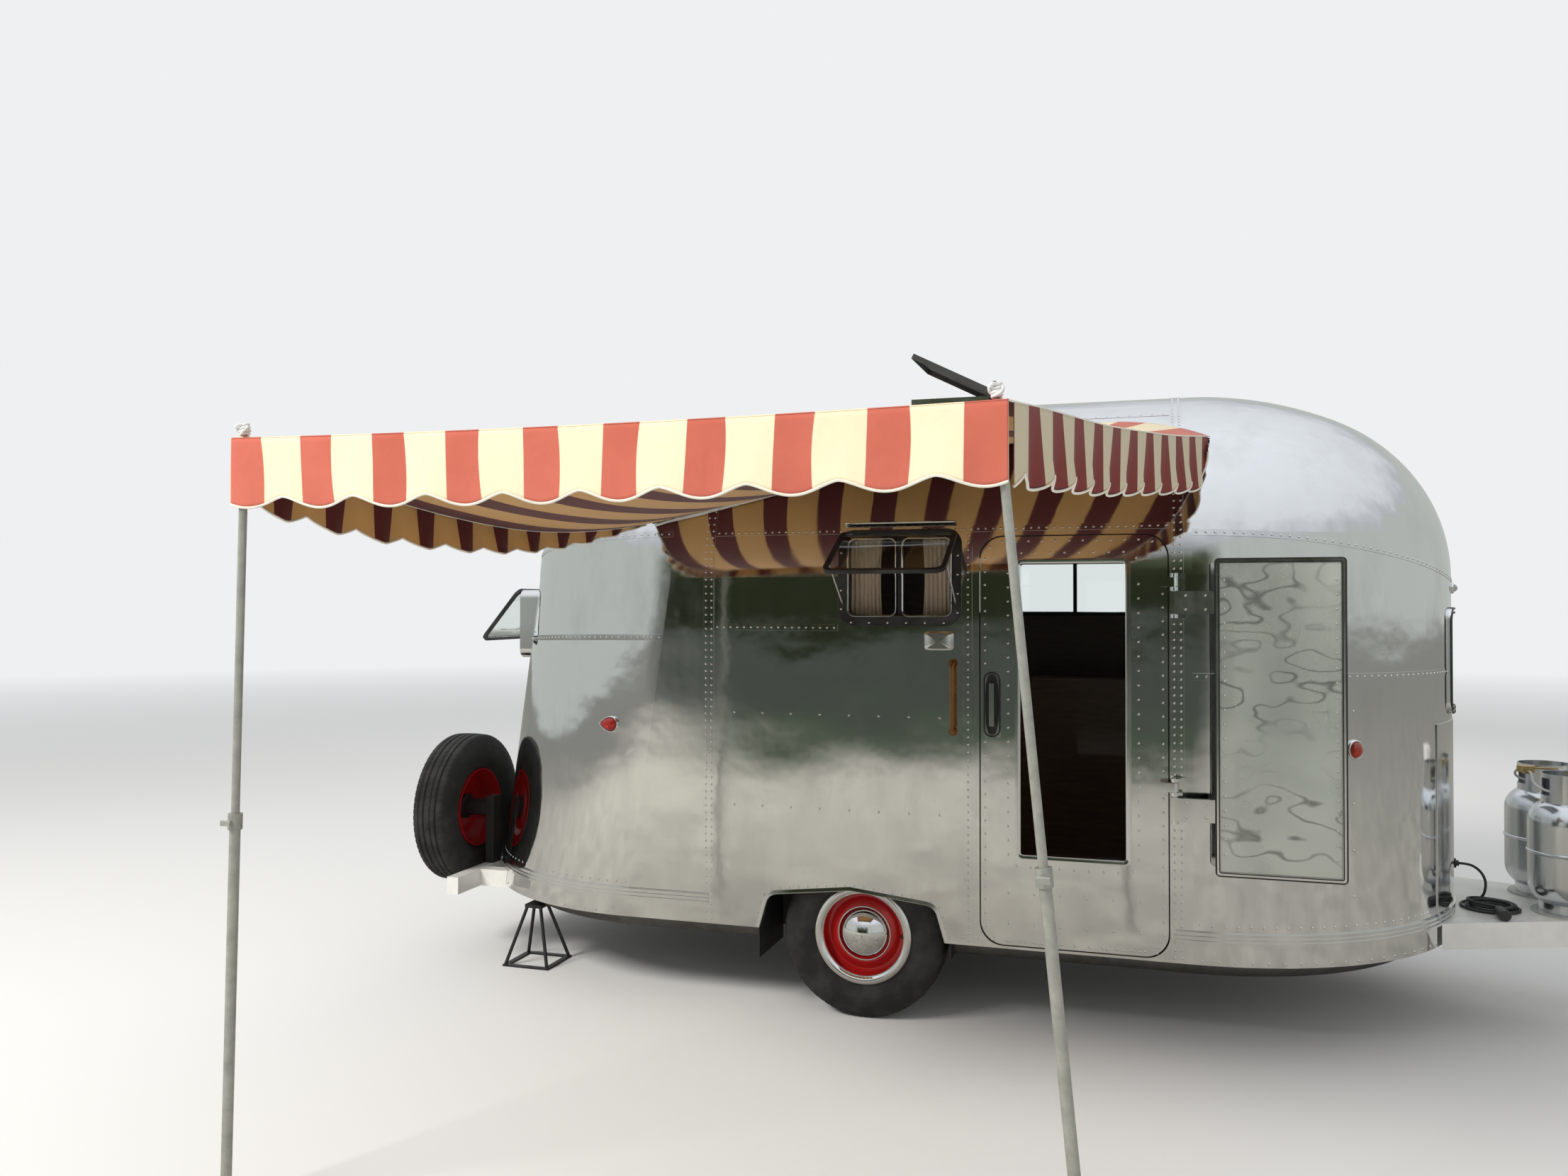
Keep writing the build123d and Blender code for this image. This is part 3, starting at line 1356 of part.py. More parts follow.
def rim_ring(centre, axle_dir, bored):
    """Pressed wheel: barrel, dished disc and the drum behind it; outside is along axle_dir."""
    half = rim_width / 2
    with BuildPart() as rim:
        with BuildSketch(turned_plane(centre, axle_dir)):
            with BuildLine():
                Polyline((barrel, -half), (bead_radius - seat_gap, -half), (bead_radius - seat_gap, half),
                         (barrel, half), (barrel, disc_edge), *disc_profile, (barrel, disc_back),
                         (barrel, -half))
            make_face()
        revolve(axis=Axis(centre, axle_dir))
        if bored:
            hub = Plane(origin=centre, x_dir=(0, 0, 1), z_dir=axle_dir)
            for start, radius, depth in ((-drum_reach, drum_radius, drum_depth),
                                         (drum_depth - drum_reach, hub_radius, hub_depth)):
                with BuildSketch(hub.offset(start)):
                    Circle(radius)
                extrude(amount=depth)
            with BuildSketch(hub.offset(-drum_reach)):
                Circle(spindle_radius + spindle_play)
            extrude(amount=drum_reach + spindle_out + spindle_room, mode=Mode.SUBTRACT)
    return rim.part


ring_seat = rim_width / 2 + seat_gap
cap_rise = cap_top - cap_low
cap_ball = (cap_radius**2 + cap_rise**2) / (2 * cap_rise)
cap_turn = asin(cap_radius / cap_ball)


def wheel_trim(centre, axle_dir):
    """Domed cap and the bright ring round the rim's edge."""
    plane = turned_plane(centre, axle_dir)
    with BuildPart() as trim:
        with BuildSketch(plane):
            with BuildLine():
                Polyline((0, cap_top), (0, cap_low), (cap_radius, cap_low))
                ThreePointArc((cap_radius, cap_low),
                              (cap_ball * sin(cap_turn / 2), cap_top - cap_ball * (1 - cos(cap_turn / 2))),
                              (0, cap_top))
            make_face()
        revolve(axis=Axis(centre, axle_dir))
        with BuildSketch(plane):
            with BuildLine():
                Polyline((trim_outer, ring_seat + trim_lip), (bead_radius, ring_seat),
                         (trim_inner, ring_seat))
                ThreePointArc((trim_inner, ring_seat), (bead_radius, ring_seat + trim_crown),
                              (trim_outer, ring_seat + trim_lip))
            make_face()
        revolve(axis=Axis(centre, axle_dir))
    return trim.part


for side, name in ((-1, "curb"), (1, "street")):
    centre = (0, side * wheel_y, axle_height)
    way = Vector(0, side, 0)
    for shape, part_name in ((tyre_ring(centre, way, tyre_radius, tyre_width), "tyre_" + name),
                             (rim_ring(centre, way, True), "rim_" + name),
                             (wheel_trim(centre, way), "wheel_trim_" + name)):
        shape.label = part_name
        pieces.append(shape)

# Spare wheel behind the rear corner, on a post that stands on the bumper end
spare_centre = (spare_x, spare_y, spare_z)
spare_way = Vector(-1, 0, 0)
spare_tyre = tyre_ring(spare_centre, spare_way, spare_radius, spare_width)
spare_tyre.label = "spare_tyre"
spare_rim = rim_ring(spare_centre, spare_way, False)
spare_rim.label = "spare_rim"
pieces += [spare_tyre, spare_rim]

stub_mid = (stub_inner + stub_outer) / 2
stub_height = stub_high - stub_low
with BuildPart() as body_block:
    extrude(plan_outline(-seat_gap, stub_low, rear_centre(stub_low)), amount=stub_height / rake.Z, dir=rake)
with BuildPart() as rear_bumper:
    for side in (-1, 1):
        with Locations(((stub_rear + stub_front) / 2, side * stub_mid, stub_low + stub_height / 2)):
            Box(stub_front - stub_rear, stub_outer - stub_inner, stub_height)
        with Locations((stub_front + bracket_length / 2, side * stub_mid, stub_low + stub_height / 2)):
            Box(bracket_length, bracket_width, stub_height)
    add(body_block.part, mode=Mode.SUBTRACT)
keep(rear_bumper, "rear_bumper")

post_x = stub_rear + post_back
post_top = spare_z + post_above
with BuildPart() as spare_carrier:
    with Locations((post_x, spare_y, (stub_high + post_top) / 2)):
        Box(post_depth, post_width, post_top - stub_high)
    with Locations(((post_x + spare_x) / 2, spare_y, spare_z)):
        Cylinder(carrier_tube, post_x - spare_x, rotation=(0, 90, 0))
    with Locations((spare_x - carrier_plate_thick / 2, spare_y, spare_z)):
        Cylinder(carrier_plate, carrier_plate_thick - 2 * seat_gap, rotation=(0, 90, 0))
keep(spare_carrier, "spare_carrier")

# Stands under the rear corners: four sloping rods between a foot and a head
with BuildPart() as stabiliser_stands:
    for side in (-1, 1):
        foot_side = 2 * (stand_base + stand_margin)
        head_side = 2 * (stand_top + stand_margin)
        with Locations((stand_x, side * stand_y, stand_foot / 2)):
            Box(foot_side, foot_side, stand_foot)
            Box(foot_side - 2 * stand_frame, foot_side - 2 * stand_frame, stand_foot, mode=Mode.SUBTRACT)
        with Locations((stand_x, side * stand_y, belly_bottom - stand_head / 2)):
            Box(head_side, head_side, stand_head)
        for x_way in (-1, 1):
            for y_way in (-1, 1):
                low = Vector(stand_x + x_way * stand_base, side * stand_y + y_way * stand_base,
                             stand_foot / 2)
                high = Vector(stand_x + x_way * stand_top, side * stand_y + y_way * stand_top,
                              belly_bottom - stand_head / 2)
                with BuildSketch(Plane(origin=low, z_dir=high - low)):
                    Circle(stand_rod)
                extrude(amount=(high - low).length)
    split(bisect_by=Plane.XY, keep=Keep.TOP)
keep(stabiliser_stands, "stabiliser_stands")


def skin_plane(centre, x, side, height):
    """Plane that touches a rounded end at x, with its normal outward."""
    away = x - centre
    out = side * sqrt(half_width**2 - away**2)
    return Plane(origin=(x, out, height), x_dir=Vector(-out, away, 0).normalized(),
                 z_dir=Vector(away, out, 0).normalized())


with BuildPart() as red_lamps:
    for side in (-1, 1):
        with BuildSketch(skin_plane(rear_centre(lamp_z), lamp_x, side, lamp_z).offset(lamp_gap)):
            Ellipse(lamp_length / 2, lamp_height / 2)
        extrude(amount=lamp_depth)
    for outer in (0, -1):
        fillet(red_lamps.faces().sort_by(Axis.Y)[outer].edges(), lamp_round)
keep(red_lamps, "red_lamps")

with BuildPart() as marker_lamps:
    for side in (-1, 1):
        for x, height, depth in markers:
            with BuildSketch(skin_plane(front_centre, x, side, height).offset(seat_gap)):
                Circle(marker_radius)
            extrude(amount=depth)
keep(marker_lamps, "marker_lamps")

# Grab handle beside the door
handle_seat = -half_width - seat_gap
handle_bar = -half_width - handle_out
with BuildPart() as grab_handle:
    with BuildLine() as handle_line:
        FilletPolyline((handle_x, handle_seat, handle_low), (handle_x, handle_bar, handle_low),
                       (handle_x, handle_bar, handle_high), (handle_x, handle_seat, handle_high),
                       radius=handle_bend)
    with BuildSketch(Plane(origin=handle_line.line @ 0, z_dir=handle_line.line % 0)):
        Circle(handle_radius)
    sweep(path=handle_line.line)
    for height in (handle_low, handle_high):
        with Locations((handle_x, handle_seat - handle_pad_thick / 2, height)):
            Cylinder(handle_pad, handle_pad_thick, rotation=(90, 0, 0))
keep(grab_handle, "grab_handle")

# Inside, seen through the door and the windows
furniture = (
    # (rear, front, low side, high side), bottom, top
    (galley, floor_top, galley_top),
    ((galley[0] - galley_lip, galley[1] + galley_lip, galley[2] - galley_lip, galley[3]),
     galley_top, galley_top + galley_board),
    (bunk, floor_top, bunk_top),
)
with BuildPart() as cabin_furniture:
    for (rear, front, low_side, high_side), bottom, top in furniture:
        with Locations(((rear + front) / 2, (low_side + high_side) / 2, (bottom + top) / 2)):
            Box(front - rear, high_side - low_side, top - bottom)
keep(cabin_furniture, "cabin_furniture")

# Written in the stored frame: origin at the middle of the base of the whole caravan
boxes = [piece.bounding_box() for piece in pieces]
low = Vector(*(min(getattr(box.min, way) for box in boxes) for way in "XYZ"))
high = Vector(*(max(getattr(box.max, way) for box in boxes) for way in "XYZ"))
origin = Vector((low.X + high.X) / 2, (low.Y + high.Y) / 2, low.Z)
os.makedirs("parts", exist_ok=True)
for piece in pieces:
    name = piece.label
    placed = piece.moved(Location(-origin))
    placed.label = name
    export_step(placed, f"parts/{name}.step")
print("origin in the working frame:", [round(v, 3) for v in origin])
print("whole size:", [round(v, 2) for v in high - low], "pieces:", len(pieces))
print("lead radii:", [round(r, 1) for r in corner_radii(lead_points)])
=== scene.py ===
import math

import bpy
import bmesh
import numpy as np
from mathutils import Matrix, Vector


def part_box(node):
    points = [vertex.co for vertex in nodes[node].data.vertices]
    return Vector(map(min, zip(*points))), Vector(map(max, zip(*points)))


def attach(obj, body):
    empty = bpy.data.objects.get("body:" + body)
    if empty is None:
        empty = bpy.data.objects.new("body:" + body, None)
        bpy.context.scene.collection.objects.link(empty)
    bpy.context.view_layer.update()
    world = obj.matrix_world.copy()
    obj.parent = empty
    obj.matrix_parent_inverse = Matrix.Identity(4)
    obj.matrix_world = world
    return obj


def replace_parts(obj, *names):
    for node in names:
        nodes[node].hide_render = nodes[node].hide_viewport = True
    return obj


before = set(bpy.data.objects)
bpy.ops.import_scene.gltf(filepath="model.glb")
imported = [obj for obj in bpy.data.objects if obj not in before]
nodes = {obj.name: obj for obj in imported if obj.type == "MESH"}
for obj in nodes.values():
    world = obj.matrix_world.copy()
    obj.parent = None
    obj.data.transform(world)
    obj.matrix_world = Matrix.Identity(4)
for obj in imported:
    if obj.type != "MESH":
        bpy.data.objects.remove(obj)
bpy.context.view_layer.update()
scene = bpy.context.scene

# The body in plan and section. Places below have the axle at X 0 and the middle of the body at Y 0, and
# shift carries them to the frame
bodySet = {"halfWidth": 1.07, "spring": 1.83, "shoulder": 0.75, "roof": 2.655, "front": 1.3,
           "rearLow": -1.04, "rearHigh": -0.83, "base": 0.36, "seamFront": 1.236, "seamRear": -0.654}
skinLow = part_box("curb_side_wall")[0]
shift = np.array([skinLow.x - bodySet["seamRear"], skinLow.y + bodySet["halfWidth"], 0.0])


# Carries points to the frame.
def placed(points):
    return np.asarray(points, float) + shift


# Camera: the eye height, turn, slight rise and lens that the photograph's straight lines give
cameraSet = {"place": (1.199, -5.88, 1.724), "turn": 17.5, "rise": 0.69, "lens": 27.67, "sensor": 36.0}
cameraData = bpy.data.cameras.new("camera")
cameraData.sensor_width = cameraSet["sensor"]
cameraData.lens = cameraSet["lens"]
camera = bpy.data.objects.new("camera", cameraData)
scene.collection.objects.link(camera)
camera.location = placed(cameraSet["place"])
camera.rotation_euler = (math.radians(90 + cameraSet["rise"]), 0, math.radians(cameraSet["turn"]))
scene.camera = camera
print("camera placed")


# Makes a shader node, sets it up and wires or fills its inputs.
def addNode(tree, kind, inputs=None, **settings):
    made = tree.nodes.new(kind)
    for name, value in settings.items():
        setattr(made, name, value)
    for name, value in (inputs or {}).items():
        if isinstance(value, bpy.types.NodeSocket):
            tree.links.new(value, made.inputs[name])
        else:
            made.inputs[name].default_value = value
    return made


# The helpers below each give the socket that the next node reads.
def noise(tree, place, scale, detail=3.0, rough=0.5):
    inputs = {"Vector": place, "Scale": scale, "Detail": detail, "Roughness": rough}
    return addNode(tree, "ShaderNodeTexNoise", inputs).outputs["Fac"]


def threads(tree, place, thread, way):
    inputs = {"Vector": place, "Scale": thread / 4}
    return addNode(tree, "ShaderNodeTexWave", inputs, bands_direction=way).outputs["Fac"]


def spread(tree, value, low, high, outLow=0.0, outHigh=1.0):
    inputs = {"Value": value, "From Min": low, "From Max": high, "To Min": outLow, "To Max": outHigh}
    return addNode(tree, "ShaderNodeMapRange", inputs).outputs["Result"]


def maths(tree, what, first, second=0.0):
    return addNode(tree, "ShaderNodeMath", {0: first, 1: second}, operation=what).outputs[0]


# One less the share.
def lacking(tree, share):
    return maths(tree, "SUBTRACT", 1.0, share)


def vectorMaths(tree, what, inputs, output="Vector"):
    return addNode(tree, "ShaderNodeVectorMath", inputs, operation=what).outputs[output]


def axesOf(tree, vector):
    return addNode(tree, "ShaderNodeSeparateXYZ", {0: vector}).outputs


def stretched(tree, place, scale):
    return addNode(tree, "ShaderNodeMapping", {"Vector": place, "Scale": scale}).outputs["Vector"]


def mixed(tree, share, first, second):
    made = addNode(tree, "ShaderNodeMix", {"Factor": share}, data_type="RGBA")
    for socket, value in ((made.inputs[6], first), (made.inputs[7], second)):
        if isinstance(value, bpy.types.NodeSocket):
            tree.links.new(value, socket)
        else:
            socket.default_value = (*value, 1.0)
    return made.outputs[2]


def bump(tree, height, distance, under=None):
    inputs = {"Height": height, "Distance": distance, "Strength": 1.0}
    if under is not None:
        inputs["Normal"] = under
    return addNode(tree, "ShaderNodeBump", inputs).outputs["Normal"]


# The colour times a share, so darker below one and paler above it.
def toned(colour, share):
    return tuple(c * share for c in colour)


# Gives the material, its tree, its shader and Object coordinates.
def startMaterial(name, colour, metal=0.0, rough=0.5, **extra):
    material = bpy.data.materials.new(name)
    material.use_nodes = True
    tree = material.node_tree
    shader = tree.nodes["Principled BSDF"]
    shader.inputs["Base Color"].default_value = (*colour, 1.0)
    shader.inputs["Metallic"].default_value = metal
    shader.inputs["Roughness"].default_value = rough
    for key, value in extra.items():
        shader.inputs[key.replace("_", " ")].default_value = value
    place = tree.nodes.new("ShaderNodeTexCoord").outputs["Object"]
    return material, tree, shader, place


# Wires sockets into the shader's inputs.
def plug(tree, shader, **values):
    for key, value in values.items():
        tree.links.new(value, shader.inputs[key.replace("_", " ")])


# A wave is the scale and depth of a swell in the sheet; core is the rear, front and height of the line down
# the middle of the body; scratch and tarnish are the duller shares
skinSet = {"colour": (0.83, 0.835, 0.84), "rough": (0.02, 0.11), "longWave": (1.7, 0.006),
           "shortWave": (7.0, 0.0007), "scratchDeep": 0.00002, "scratchDull": 0.035, "tarnish": 0.87,
           "core": (-0.85, 1.3, 1.2), "lining": (0.11, 0.085, 0.06), "liningRough": 0.55,
           # The ring entries draw dark contour lines on a less metallic sheet as a painted reflection
           "rings": 11.0, "reflectionLineWide": 0.12, "paintedReflectionColour": (0.10, 0.11, 0.10), "ringedMetal": 0.55}


# 1 on the sheet's inner side, where its normal points at the core line.
def innerSide(tree, place):
    rear, front, height = skinSet["core"]
    normal = tree.nodes.new("ShaderNodeNewGeometry").outputs["Normal"]
    limits = {"Value": axesOf(tree, place)[0], "Min": float(shift[0] + rear), "Max": float(shift[0] + front)}
    along = addNode(tree, "ShaderNodeClamp", limits).outputs[0]
    core = addNode(tree, "ShaderNodeCombineXYZ", {0: along, 1: float(shift[1]), 2: height}).outputs[0]
    away = vectorMaths(tree, "SUBTRACT", {0: place, 1: core})
    return maths(tree, "LESS_THAN", vectorMaths(tree, "DOT_PRODUCT", {0: away, 1: normal}, "Value"), 0.0)


# Painted reflection: dark contour lines of a slow noise, broken up by a second one, as a dented mirror bends
# what is round it.
def paintedReflectionLines(tree, place, strength):
    field = noise(tree, stretched(tree, place, (1.0, 1.0, 1.9)), 2.3, 2.5, 0.5)
    beat = maths(tree, "FRACT", maths(tree, "MULTIPLY", field, skinSet["rings"]))
    ring = maths(tree, "ABSOLUTE", maths(tree, "SUBTRACT", beat, 0.5))
    broken = spread(tree, noise(tree, place, 4.0, 2.0), 0.35, 0.6)
    return maths(tree, "MULTIPLY", spread(tree, ring, 0.0, skinSet["reflectionLineWide"], strength, 0.0), broken)


# Hand-polished sheet: two slow noises bend the mirror, smears and fine scratches dull it. A lined sheet has
# boards on its inner side, and rings gives the strength of the painted reflection lines.
def polishedSheet(name, waves=1.0, rough=skinSet["rough"], colour=skinSet["colour"], lined=False, rings=0.0):
    metal = skinSet["ringedMetal"] if rings else 1.0
    material, tree, shader, place = startMaterial(name, colour, metal, 0.08)
    longScale, longDeep = skinSet["longWave"]
    shortScale, shortDeep = skinSet["shortWave"]
    smear = noise(tree, stretched(tree, place, (2.0, 2.0, 0.8)), 2.6, 6.0, 0.62)
    scratch = noise(tree, stretched(tree, place, (30.0, 30.0, 260.0)), 4.0, 2.0)
    dull = maths(tree, "ADD", spread(tree, smear, 0.42, 0.72, *rough),
                 spread(tree, scratch, 0.45, 0.8, 0.0, skinSet["scratchDull"]))
    shown = mixed(tree, spread(tree, smear, 0.5, 0.78), colour, toned(colour, skinSet["tarnish"]))
    swell = noise(tree, stretched(tree, place, (1.0, 1.0, 1.7)), longScale, 1.5, 0.4)
    slow = bump(tree, swell, longDeep * waves)
    quick = bump(tree, noise(tree, place, shortScale, 2.0), shortDeep * waves, slow)
    if lined:
        inside = innerSide(tree, place)
        grain = noise(tree, stretched(tree, place, (3.0, 3.0, 26.0)), 3.0, 4.0)
        boards = mixed(tree, grain, skinSet["lining"], toned(skinSet["lining"], 1.7))
        shown = mixed(tree, inside, shown, boards)
        dull = maths(tree, "MAXIMUM", dull, maths(tree, "MULTIPLY", inside, skinSet["liningRough"]))
        plug(tree, shader, Metallic=lacking(tree, inside))
    # Painted reflection: dark lines mixed into the colour
    if rings:
        shown = mixed(tree, paintedReflectionLines(tree, place, rings), shown, skinSet["paintedReflectionColour"])
    fine = bump(tree, scratch, skinSet["scratchDeep"], quick)
    plug(tree, shader, Base_Color=shown, Roughness=dull, Normal=fine)
    return material


# Metal with a mottled dullness, darker in its pits; bite is the depth of the grit.
def wornMetal(name, colour, rough=(0.25, 0.5), scale=14.0, bite=0.0003, metal=1.0):
    material, tree, shader, place = startMaterial(name, colour, metal, rough[0])
    patch = noise(tree, place, scale, 5.0, 0.6)
    grit = noise(tree, place, scale * 14, 3.0)
    plug(tree, shader, Base_Color=mixed(tree, spread(tree, patch, 0.35, 0.75), colour, toned(colour, 0.72)),
         Roughness=spread(tree, patch, 0.3, 0.75, *rough),
         Normal=bump(tree, grit, bite, bump(tree, patch, bite * 3)))
    return material


enamelSet = {"rust": (0.2, 0.12, 0.07), "coat": 0.25, "coatRough": 0.12, "peel": 0.12, "deep": 0.00025}


# Gloss paint over steel: orange peel, dust that darkens it, and chips down to rust.
def enamel(name, colour, rough=(0.22, 0.5), chips=0.72, dirt=0.16):
    material, tree, shader, place = startMaterial(name, colour, 0.0, rough[0], Coat_Weight=enamelSet["coat"],
                                                  Coat_Roughness=enamelSet["coatRough"])
    peel = maths(tree, "MULTIPLY", noise(tree, place, 220.0, 1.0), enamelSet["peel"])
    dust = noise(tree, place, 5.0, 6.0, 0.65)
    chip = spread(tree, noise(tree, place, 38.0, 6.0, 0.7), chips, chips + 0.03)
    dusty = mixed(tree, spread(tree, dust, 0.4, 0.8, 0.0, dirt * 4), colour, toned(colour, 0.62))
    dull = maths(tree, "MAXIMUM", spread(tree, dust, 0.3, 0.8, *rough), maths(tree, "MULTIPLY", chip, 0.8))
    plug(tree, shader, Base_Color=mixed(tree, chip, dusty, enamelSet["rust"]), Roughness=dull,
         Normal=bump(tree, maths(tree, "SUBTRACT", peel, chip), enamelSet["deep"]))
    return material


# Rubber or plastic with a fine moulded grain and a little dust.
def moulded(name, colour, rough=0.6, grain=900.0, deep=0.00012):
    material, tree, shader, place = startMaterial(name, colour, 0.0, rough)
    dust = noise(tree, place, 9.0, 6.0, 0.65)
    pale = tuple(min(1.0, c + 0.035) for c in colour)
    plug(tree, shader, Base_Color=mixed(tree, spread(tree, dust, 0.42, 0.8), colour, pale),
         Roughness=spread(tree, dust, 0.3, 0.8, rough - 0.08, min(1.0, rough + 0.14)),
         Normal=bump(tree, noise(tree, place, grain, 2.0), deep))
    return material


# Window glass: a faint film on it and a slow swell.
def clearGlass(name, colour):
    material, tree, shader, place = startMaterial(name, colour, 0.0, 0.0, Transmission_Weight=1.0, IOR=1.45)
    film = noise(tree, place, 6.0, 5.0, 0.6)
    plug(tree, shader, Roughness=spread(tree, film, 0.4, 0.8, 0.0, 0.06),
         Normal=bump(tree, noise(tree, place, 3.0, 1.0), 0.0006))
    return material


# Moulded lens with small cells that catch the light.
def lensPlastic(name, colour):
    material, tree, shader, place = startMaterial(name, colour, 0.0, 0.08, Transmission_Weight=0.35, IOR=1.49,
                                                  Coat_Weight=0.6)
    cells = addNode(tree, "ShaderNodeTexVoronoi", {"Vector": place, "Scale": 170.0}).outputs["Distance"]
    plug(tree, shader, Normal=bump(tree, cells, 0.0012),
         Base_Color=mixed(tree, spread(tree, cells, 0.1, 0.6), colour, toned(colour, 0.55)))
    return material


# Bands are the values of V past which the back and then the shaded outside begin, both coloured with painted
# shade
clothSet = {"red": (0.50, 0.120, 0.078), "pale": (0.88, 0.78, 0.54),
            # Back colours: painted shade, the pale stripes a dim orange as painted light shining through the
            # cloth
            "backShadeRed": (0.10, 0.013, 0.01), "backShadePale": (0.54, 0.30, 0.10),
            # Shade colours: painted shade on the outside of the front side edge
            "shadeRed": (0.20, 0.03, 0.024), "shadePale": (0.62, 0.54, 0.38),
            "thread": 900.0, "weaveDeep": 0.00012, "creaseDeep": 0.0022,
            "stripeEdge": (0.216, 0.224), "wobble": 0.03, "bands": (1.0, 2.005), "shadeLift": 2.01}


# Stripes across U, a plain weave, faded patches and small creases; V tells the side of the cloth, and the
# back and the shaded outside are coloured with painted shade.
def stripedCanvas(name):
    material, tree, shader, place = startMaterial(name, clothSet["red"], 0.0, 0.88, Sheen_Weight=0.15,
                                                  Sheen_Roughness=0.4)
    across, along = axesOf(tree, tree.nodes.new("ShaderNodeUVMap").outputs["UV"])[:2]
    wander = maths(tree, "SUBTRACT", noise(tree, place, 3.0, 2.0), 0.5)
    wander = maths(tree, "MULTIPLY", wander, clothSet["wobble"])
    beat = maths(tree, "SUBTRACT", maths(tree, "FRACT", maths(tree, "ADD", across, wander)), 0.5)
    stripe = spread(tree, maths(tree, "ABSOLUTE", beat), *clothSet["stripeEdge"])
    fade = spread(tree, noise(tree, place, 2.2, 5.0, 0.6), 0.3, 0.8)
    red = mixed(tree, fade, clothSet["red"], tuple(min(1, c * 1.22 + 0.03) for c in clothSet["red"]))
    pale = mixed(tree, fade, clothSet["pale"], toned(clothSet["pale"], 0.88))
    # The back of the cloth in painted shade, its pale stripes a dim orange as painted light through the cloth
    back = mixed(tree, stripe, clothSet["backShadeRed"], clothSet["backShadePale"])
    # Outside in the shade: dimmer stripe colours as painted shade
    shaded = mixed(tree, stripe, clothSet["shadeRed"], clothSet["shadePale"])
    onBack, inShade = (maths(tree, "GREATER_THAN", along, limit) for limit in clothSet["bands"])
    shown = mixed(tree, onBack, mixed(tree, stripe, red, pale), mixed(tree, inShade, back, shaded))
    weave = maths(tree, "MAXIMUM", threads(tree, place, clothSet["thread"], "X"),
                  threads(tree, place, clothSet["thread"], "Y"))
    slub = noise(tree, stretched(tree, place, (60.0, 240.0, 240.0)), 2.0, 2.0)
    creases = bump(tree, noise(tree, place, 16.0, 4.0, 0.6), clothSet["creaseDeep"])
    plug(tree, shader, Base_Color=shown,
         Normal=bump(tree, maths(tree, "ADD", weave, slub), clothSet["weaveDeep"], creases))
    return material


# Cloth with a diagonal weave, stains and small creases.
def plainCloth(name, colour, thread=1100.0):
    material, tree, shader, place = startMaterial(name, colour, 0.0, 0.9, Sheen_Weight=0.2)
    stain = noise(tree, place, 6.0, 5.0, 0.6)
    plug(tree, shader, Base_Color=mixed(tree, spread(tree, stain, 0.4, 0.8), colour, toned(colour, 0.82)),
         Normal=bump(tree, threads(tree, place, thread, "DIAGONAL"), 0.0001,
                     bump(tree, noise(tree, place, 30.0, 4.0), 0.001)))
    return material


# Wood whose grain runs along X, dark and pale, under a thin coat.
def stainedWood(name, colour):
    material, tree, shader, place = startMaterial(name, colour, 0.0, 0.42, Coat_Weight=0.3)
    grain = noise(tree, stretched(tree, place, (2.0, 14.0, 14.0)), 4.0, 6.0, 0.65)
    plug(tree, shader, Base_Color=mixed(tree, grain, toned(colour, 0.55), toned(colour, 1.3)),
         Roughness=spread(tree, grain, 0.2, 0.8, 0.3, 0.55), Normal=bump(tree, grain, 0.0006))
    return material


mats = {
    "skin": polishedSheet("polishedSkin", lined=True),
    # The hatch sheet carries painted reflection lines
    "hatchSkin": polishedSheet("hatchSkin", 1.6, (0.20, 0.34), (0.66, 0.69, 0.64), rings=0.7),
    "trim": polishedSheet("brightTrim", 0.2, (0.08, 0.24)),
    "rivet": polishedSheet("rivetHeads", 0.0, (0.1, 0.3)),
    # Dull dark metal of the vent lid, also given to the belly pan as painted shade
    "ventLid": wornMetal("ventLid", (0.2, 0.2, 0.2), (0.4, 0.65)),
    "wood": stainedWood("stainedWood", (0.24, 0.13, 0.07)),
    "blackSheet": enamel("blackSheet", (0.018, 0.018, 0.018), (0.4, 0.75), 0.8, 0.05),
    "tyre": moulded("tyreRubber", (0.013, 0.012, 0.011), 0.68, 420.0, 0.0002),
    "redWheel": enamel("redWheel", (0.42, 0.012, 0.012), (0.12, 0.3), 0.78),
    "chrome": polishedSheet("chromePlate", 0.12, (0.02, 0.1), (0.87, 0.87, 0.88)),
    "glass": clearGlass("windowGlass", (0.86, 0.93, 0.91)),
    "curtain": plainCloth("curtainCloth", (0.46, 0.37, 0.27)),
    "canvas": stripedCanvas("awningCanvas"),
    "piping": plainCloth("whitePiping", (0.83, 0.79, 0.68)),
    "pole": wornMetal("galvanisedPole", (0.47, 0.475, 0.43), (0.38, 0.58), 26.0, 0.0002, 0.5),
    "white": enamel("whiteEnamel", (0.78, 0.77, 0.73), chips=0.74, dirt=0.12),
    "jackSteel": wornMetal("jackSteel", (0.5, 0.5, 0.5), (0.25, 0.45)),
    "gasSteel": polishedSheet("gasCylinder", 0.5, (0.16, 0.34), (0.72, 0.74, 0.76)),
    "greySteel": enamel("greySteel", (0.45, 0.45, 0.43), (0.35, 0.6)),
    "brass": wornMetal("agedBrass", (0.34, 0.17, 0.07), (0.22, 0.45), 20.0),
    "valve": wornMetal("valveBrass", (0.62, 0.45, 0.2), (0.25, 0.45), 30.0),
    "hose": moulded("greyHose", (0.5, 0.5, 0.47), 0.5),
    "cable": moulded("cableRubber", (0.015, 0.015, 0.015), 0.48),
    "gasket": moulded("blackGasket", (0.012, 0.012, 0.012), 0.42),
    "redLens": lensPlastic("redLens", (0.5, 0.008, 0.006)),
    "amberLens": lensPlastic("amberLens", (0.72, 0.055, 0.012)),
    "clearLens": lensPlastic("clearLens", (0.85, 0.85, 0.8)),
    # Near-black; in the spare's holes and the latch pocket it stands as painted shade
    "dark": moulded("darkInside", (0.01, 0.01, 0.01), 0.8),
    "rope": plainCloth("whiteRope", (0.8, 0.8, 0.78), 2600.0),
}

